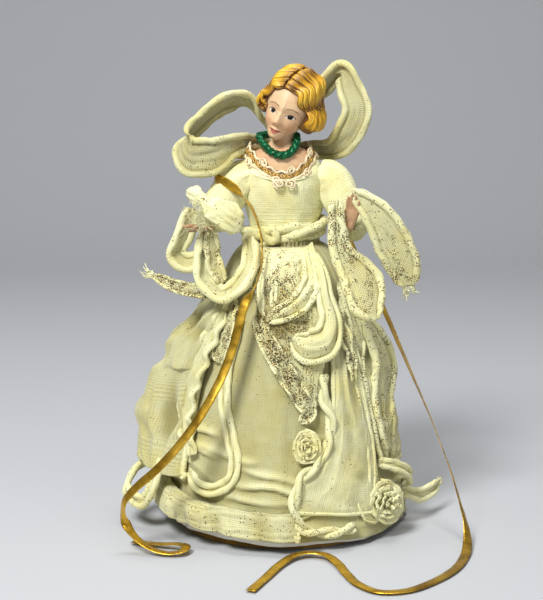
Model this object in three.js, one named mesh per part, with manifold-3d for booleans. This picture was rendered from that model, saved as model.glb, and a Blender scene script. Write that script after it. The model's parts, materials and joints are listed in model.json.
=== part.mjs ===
// Angel tree topper: a cast head and hands on a cardboard cone, dressed in starched gauze.
// Millimetres, +Z up, the cone's rim stands on z = 0 and the face looks along -Y.
// Left and right are the viewer's, looking at the figure's face.
import * as THREE from 'three';
import { mergeVertices } from 'three/addons/utils/BufferGeometryUtils.js';
import Module from 'manifold-3d';

const wasm = await Module();
wasm.setup();

// Driving dimensions

const CLEARANCE = 0.3; // between pieces that touch

const CONE_BASE_RADIUS = 78;
const CONE_TOP_RADIUS = 14;
const CONE_HEIGHT = 190;
const CONE_WALL = 2;

const TORSO_HEIGHT = 59;
const WAIST_RADIUS = 21;
const CHEST_RADIUS = 28;
const BODY_DEPTH = 0.78; // front-to-back size of the body as a share of its width
const GAUZE_WALL = 1.2;

const NECK_RADIUS = 7.5;
const PLATE_RADIUS = 22.5; // shoulder plate of the casting
const PLATE_HEIGHT = 14;
const HEAD_LIFT = 28.5; // head centre above the shoulder plate
const HEAD_SCALE = 1.06; // of the casting's carved head, against the sizes below
const HEAD_TILT = 22; // degrees, towards the viewer's right
const HEAD_TURN = -15; // degrees, the face towards the viewer's left
const HEAD_NOD = 4; // degrees, face down
const FACE_HALF_WIDTH = 14.5;
const HAIR_THICKNESS = 4;

const SKIRT_OVERHANG = 8; // the hem stands out this far past the cone's rim
const SKIRT_LAP = 8; // the skirt laps up over the foot of the body
const SKIRT_HEM_HEIGHT = 6;
const SKIRT_FLARE = 0.55; // below 1 the skirt swells like a bell
const SKIRT_FOLD_DEPTH = 2.6;
const SKIRT_FOLDS = 8;
const GAUZE_HEM = 5; // the gauze skirt stops this far above the lining's hem
const HEM_SLOPE = 2; // the hem rises on the left and falls on the right
const LINING_GAP = 0.5; // between the lining and the gauze skirt

const SLEEVE_SHOULDER_RADIUS = 12.5;
const SLEEVE_ELBOW_RADIUS = 12.5;
const SLEEVE_CUFF_RADIUS = 9.5;
const ARM_WIRE_RADIUS = 1.2;

const ROLL_DIAMETER = 5.2; // the rolled hem along both edges of a gauze strip
const WEB_THICKNESS = 1.6; // the gauze between the two rolled hems
const VINE_DIAMETER = 7;
const ROSETTE_TURN = 0.5; // how far a rosette turns from the skirt towards the front
const RIBBON_WIDTH = 6.4;
const RIBBON_THICKNESS = 0.8;
const CHOKER_RADIUS = 15.5;
const CHOKER_THICKNESS = 5.4;
const BRAID_WIDTH = 5;
const KNOT_RADIUS = 8;
const KNOT_HEIGHT = 20;
const KNOT_STEM_RADIUS = 5;
const KNOT_STEM_LENGTH = 9;

const ROUND = 40; // facets round the skirt and cone
const SKIRT_ROWS = 6;
const SMOOTHING = 0.14; // how far a cut surface may be tidied

// Places that follow from those sizes

const torsoFoot = CONE_HEIGHT + CLEARANCE;
const torsoTop = torsoFoot + TORSO_HEIGHT;
const skirtTop = CONE_HEIGHT + SKIRT_LAP;
const skirtWaistRadius = WAIST_RADIUS + CLEARANCE + 2 * GAUZE_WALL + LINING_GAP;
const skirtHemRadius = CONE_BASE_RADIUS + SKIRT_OVERHANG;
const plateFoot = torsoTop + CLEARANCE;
const headCentre = new THREE.Vector3(4, -5, plateFoot + PLATE_HEIGHT + HEAD_LIFT);
const shoulderHeight = torsoTop - 2;
const shoulderReach = CHEST_RADIUS;
const knotAxis = new THREE.Vector3(
  0,
  CHEST_RADIUS * BODY_DEPTH + GAUZE_WALL + KNOT_STEM_RADIUS,
  torsoTop + 17,
);
const leftArm = {
  shoulder: new THREE.Vector3(-shoulderReach, -2, shoulderHeight),
  elbow: new THREE.Vector3(-shoulderReach - 19, -12, shoulderHeight - 29),
  wrist: new THREE.Vector3(-shoulderReach - 22, -27, shoulderHeight - 34),
};
const rightArm = {
  shoulder: new THREE.Vector3(shoulderReach + 1, -2, shoulderHeight),
  elbow: new THREE.Vector3(shoulderReach + 19, -14, shoulderHeight - 36),
  wrist: new THREE.Vector3(shoulderReach + 17, -31, shoulderHeight - 34),
};

// Materials

const finish = (color, roughness, metalness = 0) =>
  new THREE.MeshStandardMaterial({ color, roughness, metalness, side: THREE.DoubleSide });
const gauze = finish(0xe9dfa8, 0.9);
const lining = finish(0xf4f1e2, 0.85);
const card = finish(0x8a6a24, 0.55);
const foam = finish(0xf2efe6, 0.95);
const skin = finish(0xe6bd98, 0.45);
const hairPaint = finish(0xd99a2b, 0.4);
const braidPaint = finish(0xd8b878, 0.45);
const greenTinsel = finish(0x0b6a43, 0.35, 0.3);
const goldFoil = finish(0xd9ac22, 0.25, 1);
const steel = finish(0x8e9094, 0.35, 1);

// Solids

const up = new THREE.Vector3(0, 0, 1);
const radians = THREE.MathUtils.degToRad;

function toSolid(geometry) {
  const bare = geometry.clone();
  for (const name of Object.keys(bare.attributes)) {
    if (name !== 'position') bare.deleteAttribute(name);
  }
  const merged = mergeVertices(bare, 1e-4);
  const vertProperties = new Float32Array(merged.attributes.position.array);
  const triVerts = new Uint32Array(merged.index.array);
  const solid = new wasm.Manifold(new wasm.Mesh({ numProp: 3, vertProperties, triVerts }));
  if (solid.volume() > 0) return solid;
  for (let i = 0; i < triVerts.length; i += 3) {
    [triVerts[i + 1], triVerts[i + 2]] = [triVerts[i + 2], triVerts[i + 1]];
  }
  return new wasm.Manifold(new wasm.Mesh({ numProp: 3, vertProperties, triVerts }));
}

function toGeometry(solid) {
  const mesh = solid.getMesh();
  const geometry = new THREE.BufferGeometry();
  geometry.setAttribute('position', new THREE.BufferAttribute(mesh.vertProperties, 3));
  geometry.setIndex(new THREE.BufferAttribute(mesh.triVerts, 1));
  geometry.computeVertexNormals();
  return geometry;
}

const joined = (solids) => solids.reduce((sum, next) => sum.add(next));

// The biggest body that is left after a piece has been cut back from its neighbours.
const largest = (solid) =>
  solid.decompose().reduce((best, next) => (next.volume() > best.volume() ? next : best));

// A closed skin through rings of points. Flat caps close an open run, and a loop joins up.
function skinned(rings, capFaces, loop = false) {
  const count = rings[0].length;
  const points = rings.flat();
  const faces = [];
  const spans = loop ? rings.length : rings.length - 1;
  for (let i = 0; i < spans; i++) {
    const a = i * count;
    const b = ((i + 1) % rings.length) * count;
    for (let j = 0; j < count; j++) {
      const k = (j + 1) % count;
      faces.push(a + j, b + j, b + k, a + j, b + k, a + k);
    }
  }
  if (!loop) {
    const last = (rings.length - 1) * count;
    for (const [p, q, r] of capFaces) faces.push(p, q, r, last + p, last + r, last + q);
  }
  const geometry = new THREE.BufferGeometry();
  geometry.setAttribute('position', new THREE.Float32BufferAttribute(points.flatMap((p) => p.toArray()), 3));
  geometry.setIndex(faces);
  return toSolid(geometry);
}

function lathe(profile, segments = 24, depth = 1) {
  const outline = profile.map(([radius, height]) => new THREE.Vector2(radius, height));
  const geometry = new THREE.LatheGeometry(outline, segments);
  geometry.rotateX(Math.PI / 2);
  geometry.scale(1, depth, 1);
  return toSolid(geometry);
}

function ball(centre, half, wide = 16, high = 10) {
  const geometry = new THREE.SphereGeometry(1, wide, high);
  geometry.rotateX(Math.PI / 2);
  geometry.scale(...half);
  geometry.translate(...centre);
  return toSolid(geometry);
}

// A round bar of changing radius from one point to another.
function bar(from, to, fromRadius, toRadius, segments = 16) {
  const along = to.clone().sub(from);
  const geometry = new THREE.CylinderGeometry(toRadius, fromRadius, along.length(), segments);
  const direction = along.clone().normalize();
  const turn = new THREE.Quaternion().setFromUnitVectors(new THREE.Vector3(0, 1, 0), direction);
  geometry.applyQuaternion(turn);
  geometry.translate(...from.clone().add(to).multiplyScalar(0.5).toArray());
  return toSolid(geometry);
}

function turned(solid, matrix) {
  const geometry = toGeometry(solid);
  geometry.applyMatrix4(matrix);
  return toSolid(geometry);
}

// Gauze strips: a web between two rolled hems, swept along a curve

// Half of a strip's section is mirrored, so the two hems are alike. A bulge bows the web outwards.
function stripSection(width, roll, web, bulge) {
  const half = width / 2;
  const edge = [
    [half - roll, bulge + web / 2],
    [half - 0.35 * roll, roll / 2],
    [half - 0.35 * roll, -roll / 2],
    [half - roll, bulge - web / 2],
  ];
  const right = edge.map(([s, n]) => new THREE.Vector2(s, n));
  const left = edge.map(([s, n]) => new THREE.Vector2(-s, n)).reverse();
  return [...right, ...left];
}

// points: Vector3 along the strip. across: the way the width runs at each point.
function sweptStrip(strip, grow) {
  const { points, across, width, roll = ROLL_DIAMETER, web = WEB_THICKNESS, bulge = 0, steps, loop } = strip;
  const curve = new THREE.CatmullRomCurve3(points, Boolean(loop), 'centripetal');
  const sideways = new THREE.CatmullRomCurve3(across, Boolean(loop), 'centripetal');
  const widths = Array.isArray(width) ? width : points.map(() => width);
  const stations = loop ? points.length : points.length - 1;
  const rings = [];
  const count = steps ?? stations * 3;
  const last = loop ? count - 1 : count;
  for (let i = 0; i <= last; i++) {
    const t = i / count;
    const tangent = curve.getTangent(t);
    const lean = sideways.getPoint(t);
    const side = lean.addScaledVector(tangent, -lean.dot(tangent)).normalize();
    const normal = new THREE.Vector3().crossVectors(tangent, side);
    const at = Math.min(Math.floor(t * stations), stations - 1);
    const wide = THREE.MathUtils.lerp(widths[at], widths[(at + 1) % widths.length], t * stations - at);
    const hem = Math.min(roll, wide / 2.4);
    const section = stripSection(wide + 2 * grow, hem + 2 * grow, web + 2 * grow, bulge);
    const centre = curve.getPoint(t);
    if (!loop && i === 0) centre.addScaledVector(tangent, -grow);
    if (!loop && i === last) centre.addScaledVector(tangent, grow);
    rings.push(section.map((p) => centre.clone().addScaledVector(side, p.x).addScaledVector(normal, p.y)));
  }
  const flat = THREE.ShapeUtils.triangulateShape(stripSection(10, 3, 1, 0), []);
  const caps = flat.map((corners) => [...corners].sort((p, q) => p - q));
  return skinned(rings, caps, loop);
}

// A round or flat bar swept along a smooth open or closed curve.
function sweptBar(points, wide, thick, sides, steps, loop = false, flatTo = up) {
  const curve = new THREE.CatmullRomCurve3(points, loop, 'centripetal');
  const rings = [];
  const last = loop ? steps - 1 : steps;
  for (let i = 0; i <= last; i++) {
    const tangent = curve.getTangent(i / steps);
    const lean = typeof flatTo === 'function' ? flatTo(i / steps, curve.getPoint(i / steps)) : flatTo;
    const side = new THREE.Vector3().crossVectors(tangent, lean).normalize();
    const normal = new THREE.Vector3().crossVectors(side, tangent);
    const centre = curve.getPoint(i / steps);
    const ring = [];
    for (let j = 0; j < sides; j++) {
      const angle = ((j + 0.5) / sides) * 2 * Math.PI;
      const reach = sides === 4 ? Math.SQRT2 / 2 : 0.5;
      const point = centre.clone().addScaledVector(side, Math.cos(angle) * wide * reach);
      ring.push(point.addScaledVector(normal, Math.sin(angle) * thick * reach));
    }
    rings.push(ring);
  }
  const caps = [];
  for (let j = 1; j < sides - 1; j++) caps.push([0, j, j + 1]);
  return skinned(rings, caps, loop);
}

// The bell of the skirt: degrees run from the front towards the viewer's right, share from hem to waist

const skirtHeight = (share) => SKIRT_HEM_HEIGHT + share * (skirtTop - SKIRT_HEM_HEIGHT);

function skirtRadius(angle, share) {
  const drop = THREE.MathUtils.clamp(1 - share, 0, 1.1);
  const bell = skirtWaistRadius + (skirtHemRadius - skirtWaistRadius) * drop ** SKIRT_FLARE;
  const pleats = Math.cos(SKIRT_FOLDS * angle + 0.6) * (0.7 + 0.3 * Math.cos(3 * angle));
  return bell + SKIRT_FOLD_DEPTH * Math.min(drop, 1) * pleats;
}

function onSkirt([degrees, share, lift]) {
  const angle = radians(degrees);
  const radius = skirtRadius(angle, share) + lift;
  return new THREE.Vector3(radius * Math.sin(angle), -radius * Math.cos(angle), skirtHeight(share));
}

// The way straight out of the skirt, tipped up by the bell's slope.
function skirtOutward([degrees, share]) {
  const angle = radians(degrees);
  const rise = skirtHeight(share + 0.04) - skirtHeight(share - 0.04);
  const shrink = skirtRadius(angle, share - 0.04) - skirtRadius(angle, share + 0.04);
  return new THREE.Vector3(Math.sin(angle) * rise, -Math.cos(angle) * rise, shrink).normalize();
}

// One row of points round the skirt, inset or grown by a distance.
function skirtRow(share, offset, hemHeight, top) {
  const row = [];
  for (let j = 0; j < ROUND; j++) {
    const angle = (j / ROUND) * 2 * Math.PI;
    const hem = hemHeight - HEM_SLOPE * Math.sin(angle);
    const height = hem + share * (top - hem);
    const radius = skirtRadius(angle, (height - SKIRT_HEM_HEIGHT) / (top - SKIRT_HEM_HEIGHT)) + offset;
    row.push(new THREE.Vector3(radius * Math.sin(angle), -radius * Math.cos(angle), height));
  }
  return row;
}

// Rows close up towards the waist, where the bell turns fastest.
const skirtShares = (rows) => Array.from({ length: rows + 1 }, (_, row) => 1 - (1 - row / rows) ** 1.7);

// A solid bell from the axis out to the skirt, for cutting other pieces clear of it.
function bell(offset, hemHeight, top) {
  const caps = [];
  for (let j = 1; j < ROUND - 1; j++) caps.push([0, j, j + 1]);
  return skinned(skirtShares(SKIRT_ROWS).map((share) => skirtRow(share, offset, hemHeight, top)), caps);
}

// A bell of cloth: up the outside, then down the inside.
function bellShell(inset, wall, hemHeight, rows) {
  const shares = skirtShares(rows);
  const outside = shares.map((share) => skirtRow(share, -inset, hemHeight, skirtTop));
  const inside = shares.map((share) => skirtRow(share, -inset - wall, hemHeight, skirtTop));
  return skinned([...outside, ...inside.reverse()], [], true);
}

// Pieces

// Each entry has a name, a maker that can grow the piece by a clearance, and the pieces it is cut clear of.
// An assembly's pieces hang in one group, which stands at the assembly's own reference point.
const pieces = [];
const angel = new THREE.Group();
let openGroup = angel;

function assembly(name, at) {
  openGroup = new THREE.Group();
  openGroup.name = name;
  openGroup.position.copy(at);
  angel.add(openGroup);
}

function piece(name, material, make, clearOf = []) {
  pieces.push({ name, material, make, clearOf, group: openGroup });
}

// Cone and body

assembly('core', new THREE.Vector3());

piece('cone_core', card, (grow) =>
  lathe(
    [
      [CONE_BASE_RADIUS - CONE_WALL, -grow],
      [CONE_BASE_RADIUS + grow, -grow],
      [CONE_TOP_RADIUS + grow, CONE_HEIGHT + grow],
      [CONE_TOP_RADIUS - CONE_WALL, CONE_HEIGHT + grow],
      [CONE_BASE_RADIUS - CONE_WALL, -grow],
    ],
    ROUND,
  ));

const bodyProfile = (grow, top) => [
  [0, torsoFoot - grow],
  [WAIST_RADIUS + grow, torsoFoot - grow],
  [WAIST_RADIUS + grow, torsoFoot + SKIRT_LAP + 2],
  [(WAIST_RADIUS + CHEST_RADIUS) / 2 + 2 + grow, torsoFoot + 0.55 * TORSO_HEIGHT],
  [CHEST_RADIUS + grow, torsoFoot + 0.84 * TORSO_HEIGHT],
  [CHEST_RADIUS - 1.5 + grow, torsoTop + grow],
  ...top,
];

const handSeat = (arm) => {
  const forward = arm.wrist.clone().sub(arm.elbow).normalize();
  return arm.wrist.clone().addScaledVector(forward, ARM_WIRE_RADIUS + 4);
};

// One wire runs from hand to hand through the body.
function armWire(grow) {
  const within = [-0.5, 0, 0.5].map(
    (x) => new THREE.Vector3(x * shoulderReach, leftArm.shoulder.y, shoulderHeight - 5),
  );
  const left = [leftArm.wrist, leftArm.elbow, leftArm.shoulder];
  const right = [rightArm.shoulder, rightArm.elbow, rightArm.wrist];
  const ends = [leftArm, rightArm].map(handSeat);
  const wide = 2 * ARM_WIRE_RADIUS + 2 * grow;
  const stops = [ends[0], ...left, ...within, ...right, ends[1]];
  return sweptBar(stops, wide, wide, 6, 24, false, new THREE.Vector3(0.3, 1, 0.6));
}

const bowWire = (grow) => {
  const height = torsoTop - 3;
  const inner = new THREE.Vector3(0, 8, height);
  const outer = new THREE.Vector3(0, knotAxis.y - KNOT_STEM_RADIUS - CLEARANCE + grow, height);
  return bar(inner, outer, ARM_WIRE_RADIUS + grow, ARM_WIRE_RADIUS + grow, 8);
};

piece('arm_wire', steel, armWire);
piece('bow_wire', steel, bowWire);
piece('torso_form', foam, (grow) =>
  lathe(bodyProfile(grow, [[0, torsoTop + grow]]), 20, BODY_DEPTH), ['arm_wire', 'bow_wire']);

// Head and shoulder casting

assembly('head', headCentre);

const headMatrix = new THREE.Matrix4()
  .makeRotationFromEuler(new THREE.Euler(radians(HEAD_NOD), radians(HEAD_TILT), radians(HEAD_TURN), 'YXZ'))
  .scale(new THREE.Vector3(HEAD_SCALE, HEAD_SCALE, HEAD_SCALE))
  .setPosition(headCentre);

const skullHalf = [FACE_HALF_WIDTH + 1, 18.5, 19];

function headBust(grow) {
  const face = joined([
    ball([0, 1, 3], skullHalf.map((h) => h + grow), 14, 10),
    ball([0, -3.5, -9], [FACE_HALF_WIDTH - 2.5 + grow, 13.5 + grow, 16 + grow], 12, 8),
    ball([0, -15.5, -5.5], [2.1 + grow, 4.4 + grow, 4.6 + grow], 6, 5),
    ball([0, -13.2, -21], [4 + grow, 3.6 + grow, 3.4 + grow], 6, 5),
  ]);
  const neckFoot = new THREE.Vector3(-2, -2, plateFoot + 6);
  const neckTop = headCentre.clone().add(new THREE.Vector3(0, 2, -4));
  const neck = bar(neckFoot, neckTop, NECK_RADIUS + 1 + grow, NECK_RADIUS + grow);
  const plate = lathe(
    [
      [0, plateFoot - grow],
      [PLATE_RADIUS + grow, plateFoot - grow],
      [PLATE_RADIUS + grow, plateFoot + 0.3 * PLATE_HEIGHT],
      [PLATE_RADIUS - 4.5 + grow, plateFoot + 0.7 * PLATE_HEIGHT + grow],
      [NECK_RADIUS + 3 + grow, plateFoot + PLATE_HEIGHT + grow],
      [0, plateFoot + PLATE_HEIGHT + 3 + grow],
    ],
    24,
    BODY_DEPTH,
  );
  return joined([turned(face, headMatrix), neck, plate]);
}

function hair(grow) {
  const cap = HAIR_THICKNESS + grow;
  const mass = joined([
    ball([0, 3.5, 5.5], skullHalf.map((h, i) => h + cap - (i === 2 ? 0.5 : 0)), 14, 10),
    ball([-14.5, 2, -1], [5.5 + grow, 11 + grow, 12 + grow], 8, 6),
    ball([15.5, 0, -5], [7.5 + grow, 12 + grow, 14 + grow], 8, 6),
    ball([3, 14, -11], [13 + grow, 9 + grow, 12 + grow], 8, 6),
  ]);
  const opening = ball([-0.5, -20, -9], [15, 18, 22], 12, 8);
  return turned(mass.subtract(opening), headMatrix);
}

piece('head_bust', skin, headBust);
piece('hair', hairPaint, hair, ['head_bust']);

assembly('bodice_group', new THREE.Vector3(0, 0, torsoFoot));

// The bodice is drawn over the body and stops at a round neckline.
const bodiceFoot = skirtTop + CLEARANCE;
const necklineHeight = torsoTop + 0.6 * PLATE_HEIGHT;

function bodiceSide(out) {
  const shoulder = [[CHEST_RADIUS - 2.5 + out, torsoTop + 4], [PLATE_RADIUS + out, necklineHeight]];
  const side = bodyProfile(out, shoulder).filter(([, height]) => height > bodiceFoot);
  return [[WAIST_RADIUS + out, bodiceFoot], ...side];
}

function bodice(grow) {
  const outside = bodiceSide(CLEARANCE + GAUZE_WALL + grow);
  if (grow) return lathe([[0, bodiceFoot - grow], ...outside, [0, necklineHeight + grow]], 20, BODY_DEPTH);
  const inside = bodiceSide(CLEARANCE).reverse();
  const shell = lathe([...outside, ...inside, outside[0]], 20, BODY_DEPTH);
  const across = (x) => new THREE.Vector3(x, leftArm.shoulder.y, shoulderHeight);
  return shell.subtract(bar(across(-2 * shoulderReach), across(2 * shoulderReach), 5, 5, 10));
}

piece('bodice', gauze, bodice, ['arm_wire', 'bow_wire', 'head_bust']);

// The neckline braid dips at the front, and the loose choker lies on the shoulder plate.
function necklineBraid(grow) {
  const points = [];
  for (let i = 0; i < 16; i++) {
    const angle = (i / 16) * 2 * Math.PI;
    const front = Math.max(0, Math.cos(angle));
    const reach = PLATE_RADIUS + 2.6;
    const depth = reach * BODY_DEPTH + 1 + 3.4 * front * front;
    const height = necklineHeight + 0.5 - 9 * front * front;
    points.push(new THREE.Vector3(reach * Math.sin(angle), -depth * Math.cos(angle), height));
  }
  return sweptBar(points, BRAID_WIDTH + 2 * grow, BRAID_WIDTH + 2 * grow, 6, 20, true);
}

piece('neckline_braid', braidPaint, necklineBraid, ['bodice', 'head_bust']);

function choker(grow) {
  const geometry = new THREE.TorusGeometry(CHOKER_RADIUS, CHOKER_THICKNESS / 2 + grow, 6, 16);
  geometry.scale(1, 0.95, 1);
  geometry.rotateX(radians(12));
  geometry.rotateY(radians(-4));
  geometry.translate(-1, -3.5, plateFoot + PLATE_HEIGHT - 1.5);
  return toSolid(geometry);
}

piece('choker', greenTinsel, choker, ['head_bust', 'neckline_braid', 'bodice', 'hair']);

// Arms

assembly('arms', new THREE.Vector3(0, leftArm.shoulder.y, shoulderHeight));

// Rings for a round tube with mitred corners: each ring lies on the plane that halves its corner.
function mitredRings(stops, radii, sides) {
  const runs = stops.slice(1).map((stop, i) => stop.clone().sub(stops[i]).normalize());
  const first = new THREE.Vector3().crossVectors(runs[0], up).normalize();
  const second = new THREE.Vector3().crossVectors(runs[0], first);
  return stops.map((stop, i) => {
    const before = runs[Math.max(i - 1, 0)];
    const after = runs[Math.min(i, runs.length - 1)];
    const half = before.clone().add(after).normalize();
    const ring = [];
    for (let j = 0; j < sides; j++) {
      const angle = (j / sides) * 2 * Math.PI;
      const reach = first.clone().multiplyScalar(radii[i] * Math.cos(angle));
      reach.addScaledVector(second, radii[i] * Math.sin(angle));
      ring.push(stop.clone().add(reach).addScaledVector(before, -reach.dot(half) / before.dot(half)));
    }
    const bend = new THREE.Quaternion().setFromUnitVectors(before, after);
    first.applyQuaternion(bend);
    second.applyQuaternion(bend);
    return ring;
  });
}

// A sleeve is a hollow elbow: from inside the shoulder to the seam, the elbow and the cuff.
function sleeve(arm, grow) {
  const within = new THREE.Vector3(arm.shoulder.x * 0.72, arm.shoulder.y, shoulderHeight - 2);
  const seam = new THREE.Vector3(arm.shoulder.x * 1.12, arm.shoulder.y - 1, shoulderHeight - 7);
  const stops = [within, seam, arm.elbow, arm.wrist];
  const radii = [SLEEVE_SHOULDER_RADIUS, SLEEVE_SHOULDER_RADIUS, SLEEVE_ELBOW_RADIUS, SLEEVE_CUFF_RADIUS];
  const sides = 12;
  const rings = (offset) => mitredRings(stops, radii.map((radius) => radius + offset), sides);
  if (!grow) return skinned([...rings(0), ...rings(-GAUZE_WALL).reverse()], [], true);
  const caps = [];
  for (let j = 1; j < sides - 1; j++) caps.push([0, j, j + 1]);
  return skinned(rings(grow), caps);
}

piece('sleeve_left', gauze, (grow) => sleeve(leftArm, grow), ['bodice', 'neckline_braid', 'arm_wire']);
piece('sleeve_right', gauze, (grow) => sleeve(rightArm, grow), ['bodice', 'neckline_braid', 'arm_wire']);

// A cast hand points along +Z with the thumb towards -X, and is then turned onto its wrist.
function hand(arm, pointing, palm, grow) {
  const finger = (from, to, radius) => {
    const start = new THREE.Vector3(...from);
    const end = new THREE.Vector3(...to);
    const knuckle = start.clone().lerp(end, 0.86);
    return joined([
      bar(start, knuckle, radius + grow, radius + grow, 6),
      bar(knuckle, end, radius + grow, 0.45 * radius + grow, 6),
    ]);
  };
  const fingers = [19.5, 22, 21, 17.5].map((tip, i) => {
    const across = -3.6 + 2.4 * i;
    return finger([across, 0, 9], [across * 1.06, -0.8, tip], 1.25);
  });
  const parts = [
    ball([0, 0, 6.5], [5 + grow, 2.5 + grow, 6.5 + grow], 10, 6),
    bar(new THREE.Vector3(0, 0, -2 - grow), new THREE.Vector3(0, 0, 4), 3.2 + grow, 3 + grow, 8),
    finger([-3.6, -0.6, 4], [-6.6, -2, 11.5], 1.35),
    ...fingers,
  ];
  const along = new THREE.Vector3(...pointing).normalize();
  const back = new THREE.Vector3(...palm);
  back.addScaledVector(along, -along.dot(back)).normalize();
  const matrix = new THREE.Matrix4().makeBasis(new THREE.Vector3().crossVectors(back, along), back, along);
  matrix.setPosition(handSeat(arm));
  return turned(joined(parts), matrix);
}

piece('hand_left', skin, (grow) =>
  hand(leftArm, [-0.75, -0.5, 0.25], [0, 0.2, 1], grow), ['sleeve_left', 'arm_wire']);
piece('hand_right', skin, (grow) =>
  hand(rightArm, [0.12, -0.12, 1], [0.15, 1, 0.1], grow), ['sleeve_right', 'arm_wire']);

// Skirts

assembly('skirts', new THREE.Vector3(0, 0, SKIRT_HEM_HEIGHT));

const liningHem = SKIRT_HEM_HEIGHT - 2;
const gauzeHem = liningHem + GAUZE_HEM;

piece('skirt_lining', lining, (grow) => {
  if (grow) return bell(grow, liningHem, skirtTop);
  return bellShell(GAUZE_WALL + LINING_GAP, GAUZE_WALL, liningHem, SKIRT_ROWS);
});
piece('skirt', gauze, (grow) => {
  if (grow) return bell(grow, gauzeHem, skirtTop + grow);
  return bellShell(0, GAUZE_WALL, gauzeHem, SKIRT_ROWS);
});

// Sash: a strip wound round the waist, higher on the right

const sashHeight = skirtTop + 10;

piece('waist_sash', gauze, (grow) => {
  const points = [];
  const across = [];
  for (let i = 0; i < 12; i++) {
    const angle = (i / 12) * 2 * Math.PI;
    const reach = WAIST_RADIUS + GAUZE_WALL + 4.6;
    const depth = reach * BODY_DEPTH + 1;
    const height = sashHeight + 3.5 * Math.sin(angle);
    points.push(new THREE.Vector3(reach * Math.sin(angle), -depth * Math.cos(angle), height));
    across.push(new THREE.Vector3(0, 0, 1));
  }
  return sweptStrip({ points, across, width: 12, steps: 18, loop: true }, grow);
}, ['bodice', 'skirt']);

// A strip that lies on the skirt: its width runs along the cloth, square to its path.
// Halfway along it may swing about its path by some degrees, so that one edge stands off the skirt.
function skirtStrip({ path, swing = 0, ...rest }, grow) {
  const points = path.map(onSkirt);
  const curve = new THREE.CatmullRomCurve3(points, false, 'centripetal');
  const across = path.map((at, i) => {
    const share = i / (path.length - 1);
    const tangent = curve.getTangent(share);
    const side = new THREE.Vector3().crossVectors(tangent, skirtOutward(at));
    return side.applyAxisAngle(tangent, radians(swing * Math.sin(Math.PI * share)));
  });
  return sweptStrip({ points, across, ...rest }, grow);
}

// A strip that hangs free: each row is an offset from its anchor and the way its width runs there.
function freeStrip({ anchor, path, ...rest }, grow) {
  const points = path.map(([x, y, z]) => new THREE.Vector3(x, y, z).add(anchor));
  const across = path.map(([, , , x, y, z]) => new THREE.Vector3(x, y, z));
  return sweptStrip({ points, across, ...rest }, grow);
}

// Bow on the back: a knot whose two loops stand up as wings

assembly('bow', knotAxis);

piece('bow_knot', gauze, (grow) => {
  const low = knotAxis.z - KNOT_HEIGHT / 2;
  const high = knotAxis.z + KNOT_HEIGHT / 2;
  return lathe(
    [
      [0, low - KNOT_STEM_LENGTH - grow],
      [KNOT_STEM_RADIUS + grow, low - KNOT_STEM_LENGTH - grow],
      [KNOT_STEM_RADIUS + grow, low - 1],
      [KNOT_RADIUS + grow, low + 1],
      [KNOT_RADIUS + grow, high - 4],
      [KNOT_RADIUS - 3 + grow, high + grow],
      [0, high + 1 + grow],
    ],
    24,
  ).translate([knotAxis.x, knotAxis.y, 0]);
}, ['bodice', 'bow_wire', 'neckline_braid']);

const wingLeft = {
  anchor: knotAxis,
  path: [
    [-6, 0, 4, -0.2, 0.9, -0.2],
    [-17, -6, 19, 0.1, 0.95, -0.1],
    [-29, -17, 29, 0.1, 0.85, -0.5],
    [-43, -25, 27, 0, 0.8, -0.6],
    [-58, -29, 15, -0.1, 0.75, -0.65],
    [-69, -32, 3, -0.5, 0.45, -0.75],
    [-66, -39, -7, -0.2, 0.15, -0.97],
    [-50, -45, -7, 0, 0.1, -1],
    [-36, -40, -1, 0.1, 0.2, -0.97],
    [-23, -20, 1, 0.1, 0.3, -0.95],
    [-6, -1, -3, 0.1, 0.3, -0.95],
  ],
  width: [11, 18, 22, 23, 24, 27, 28, 27, 18, 12, 10],
  steps: 22,
};

const wingRight = {
  anchor: knotAxis,
  path: [
    [5, 0, 4, -0.1, 0.5, -0.85],
    [15, -2, 23, -0.1, 0.6, -0.8],
    [28, -9, 39, -0.1, 0.6, -0.8],
    [40, -18, 50, -0.5, 0.6, -0.6],
    [46, -24, 37, -0.9, 0.2, 0.1],
    [50, -29, 22, -0.93, 0.15, 0.2],
    [44, -28, 7, -0.88, 0.1, 0.4],
    [36, -21, -3, -0.8, 0.1, 0.6],
    [24, -11, -5, -0.5, 0.1, 0.85],
    [5, 0, -4, -0.1, 0.2, 0.95],
  ],
  width: [10, 13, 16, 16, 19, 21, 21, 18, 14, 10],
  steps: 22,
};

const besideWings = ['bow_knot', 'hair', 'head_bust', 'bodice', 'neckline_braid'];

piece('wing_loop_left', gauze, (grow) =>
  freeStrip(wingLeft, grow), [...besideWings, 'sleeve_left']);
piece('wing_loop_right', gauze, (grow) =>
  freeStrip(wingRight, grow), [...besideWings, 'sleeve_right', 'wing_loop_left']);

// Drapery at the hands

assembly('hand_drapery', new THREE.Vector3(0, 0, shoulderHeight));

piece('hand_wrap_left', gauze, (grow) => {
  const offsets = [[-15, 10, 21], [-6, -3, 16], [7, -12, 13], [18, -13, 5], [20, -7, -5]];
  const points = offsets.map((p) => new THREE.Vector3(...p).add(leftArm.wrist));
  return sweptBar(points, 19 + 2 * grow, 14 + 2 * grow, 10, 14);
}, ['hand_left', 'sleeve_left', 'bodice', 'waist_sash', 'arm_wire']);

piece('hand_cascade_left', gauze, (grow) => freeStrip({
  anchor: leftArm.wrist,
  path: [
    [-13, 3, 11, 0.7, 0.5, 0.3],
    [-19, 1, -8, 0.8, 0.5, 0.2],
    [-24, 1, -20, 0.7, 0.4, 0.5],
    [-18, 1, -26, 0.1, 0.4, 0.9],
    [-6, -1, -23, -0.1, 0.5, 0.9],
  ],
  width: [14, 16, 16, 15, 12],
  steps: 16,
}, grow), ['hand_left', 'sleeve_left', 'hand_wrap_left', 'skirt']);

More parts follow.
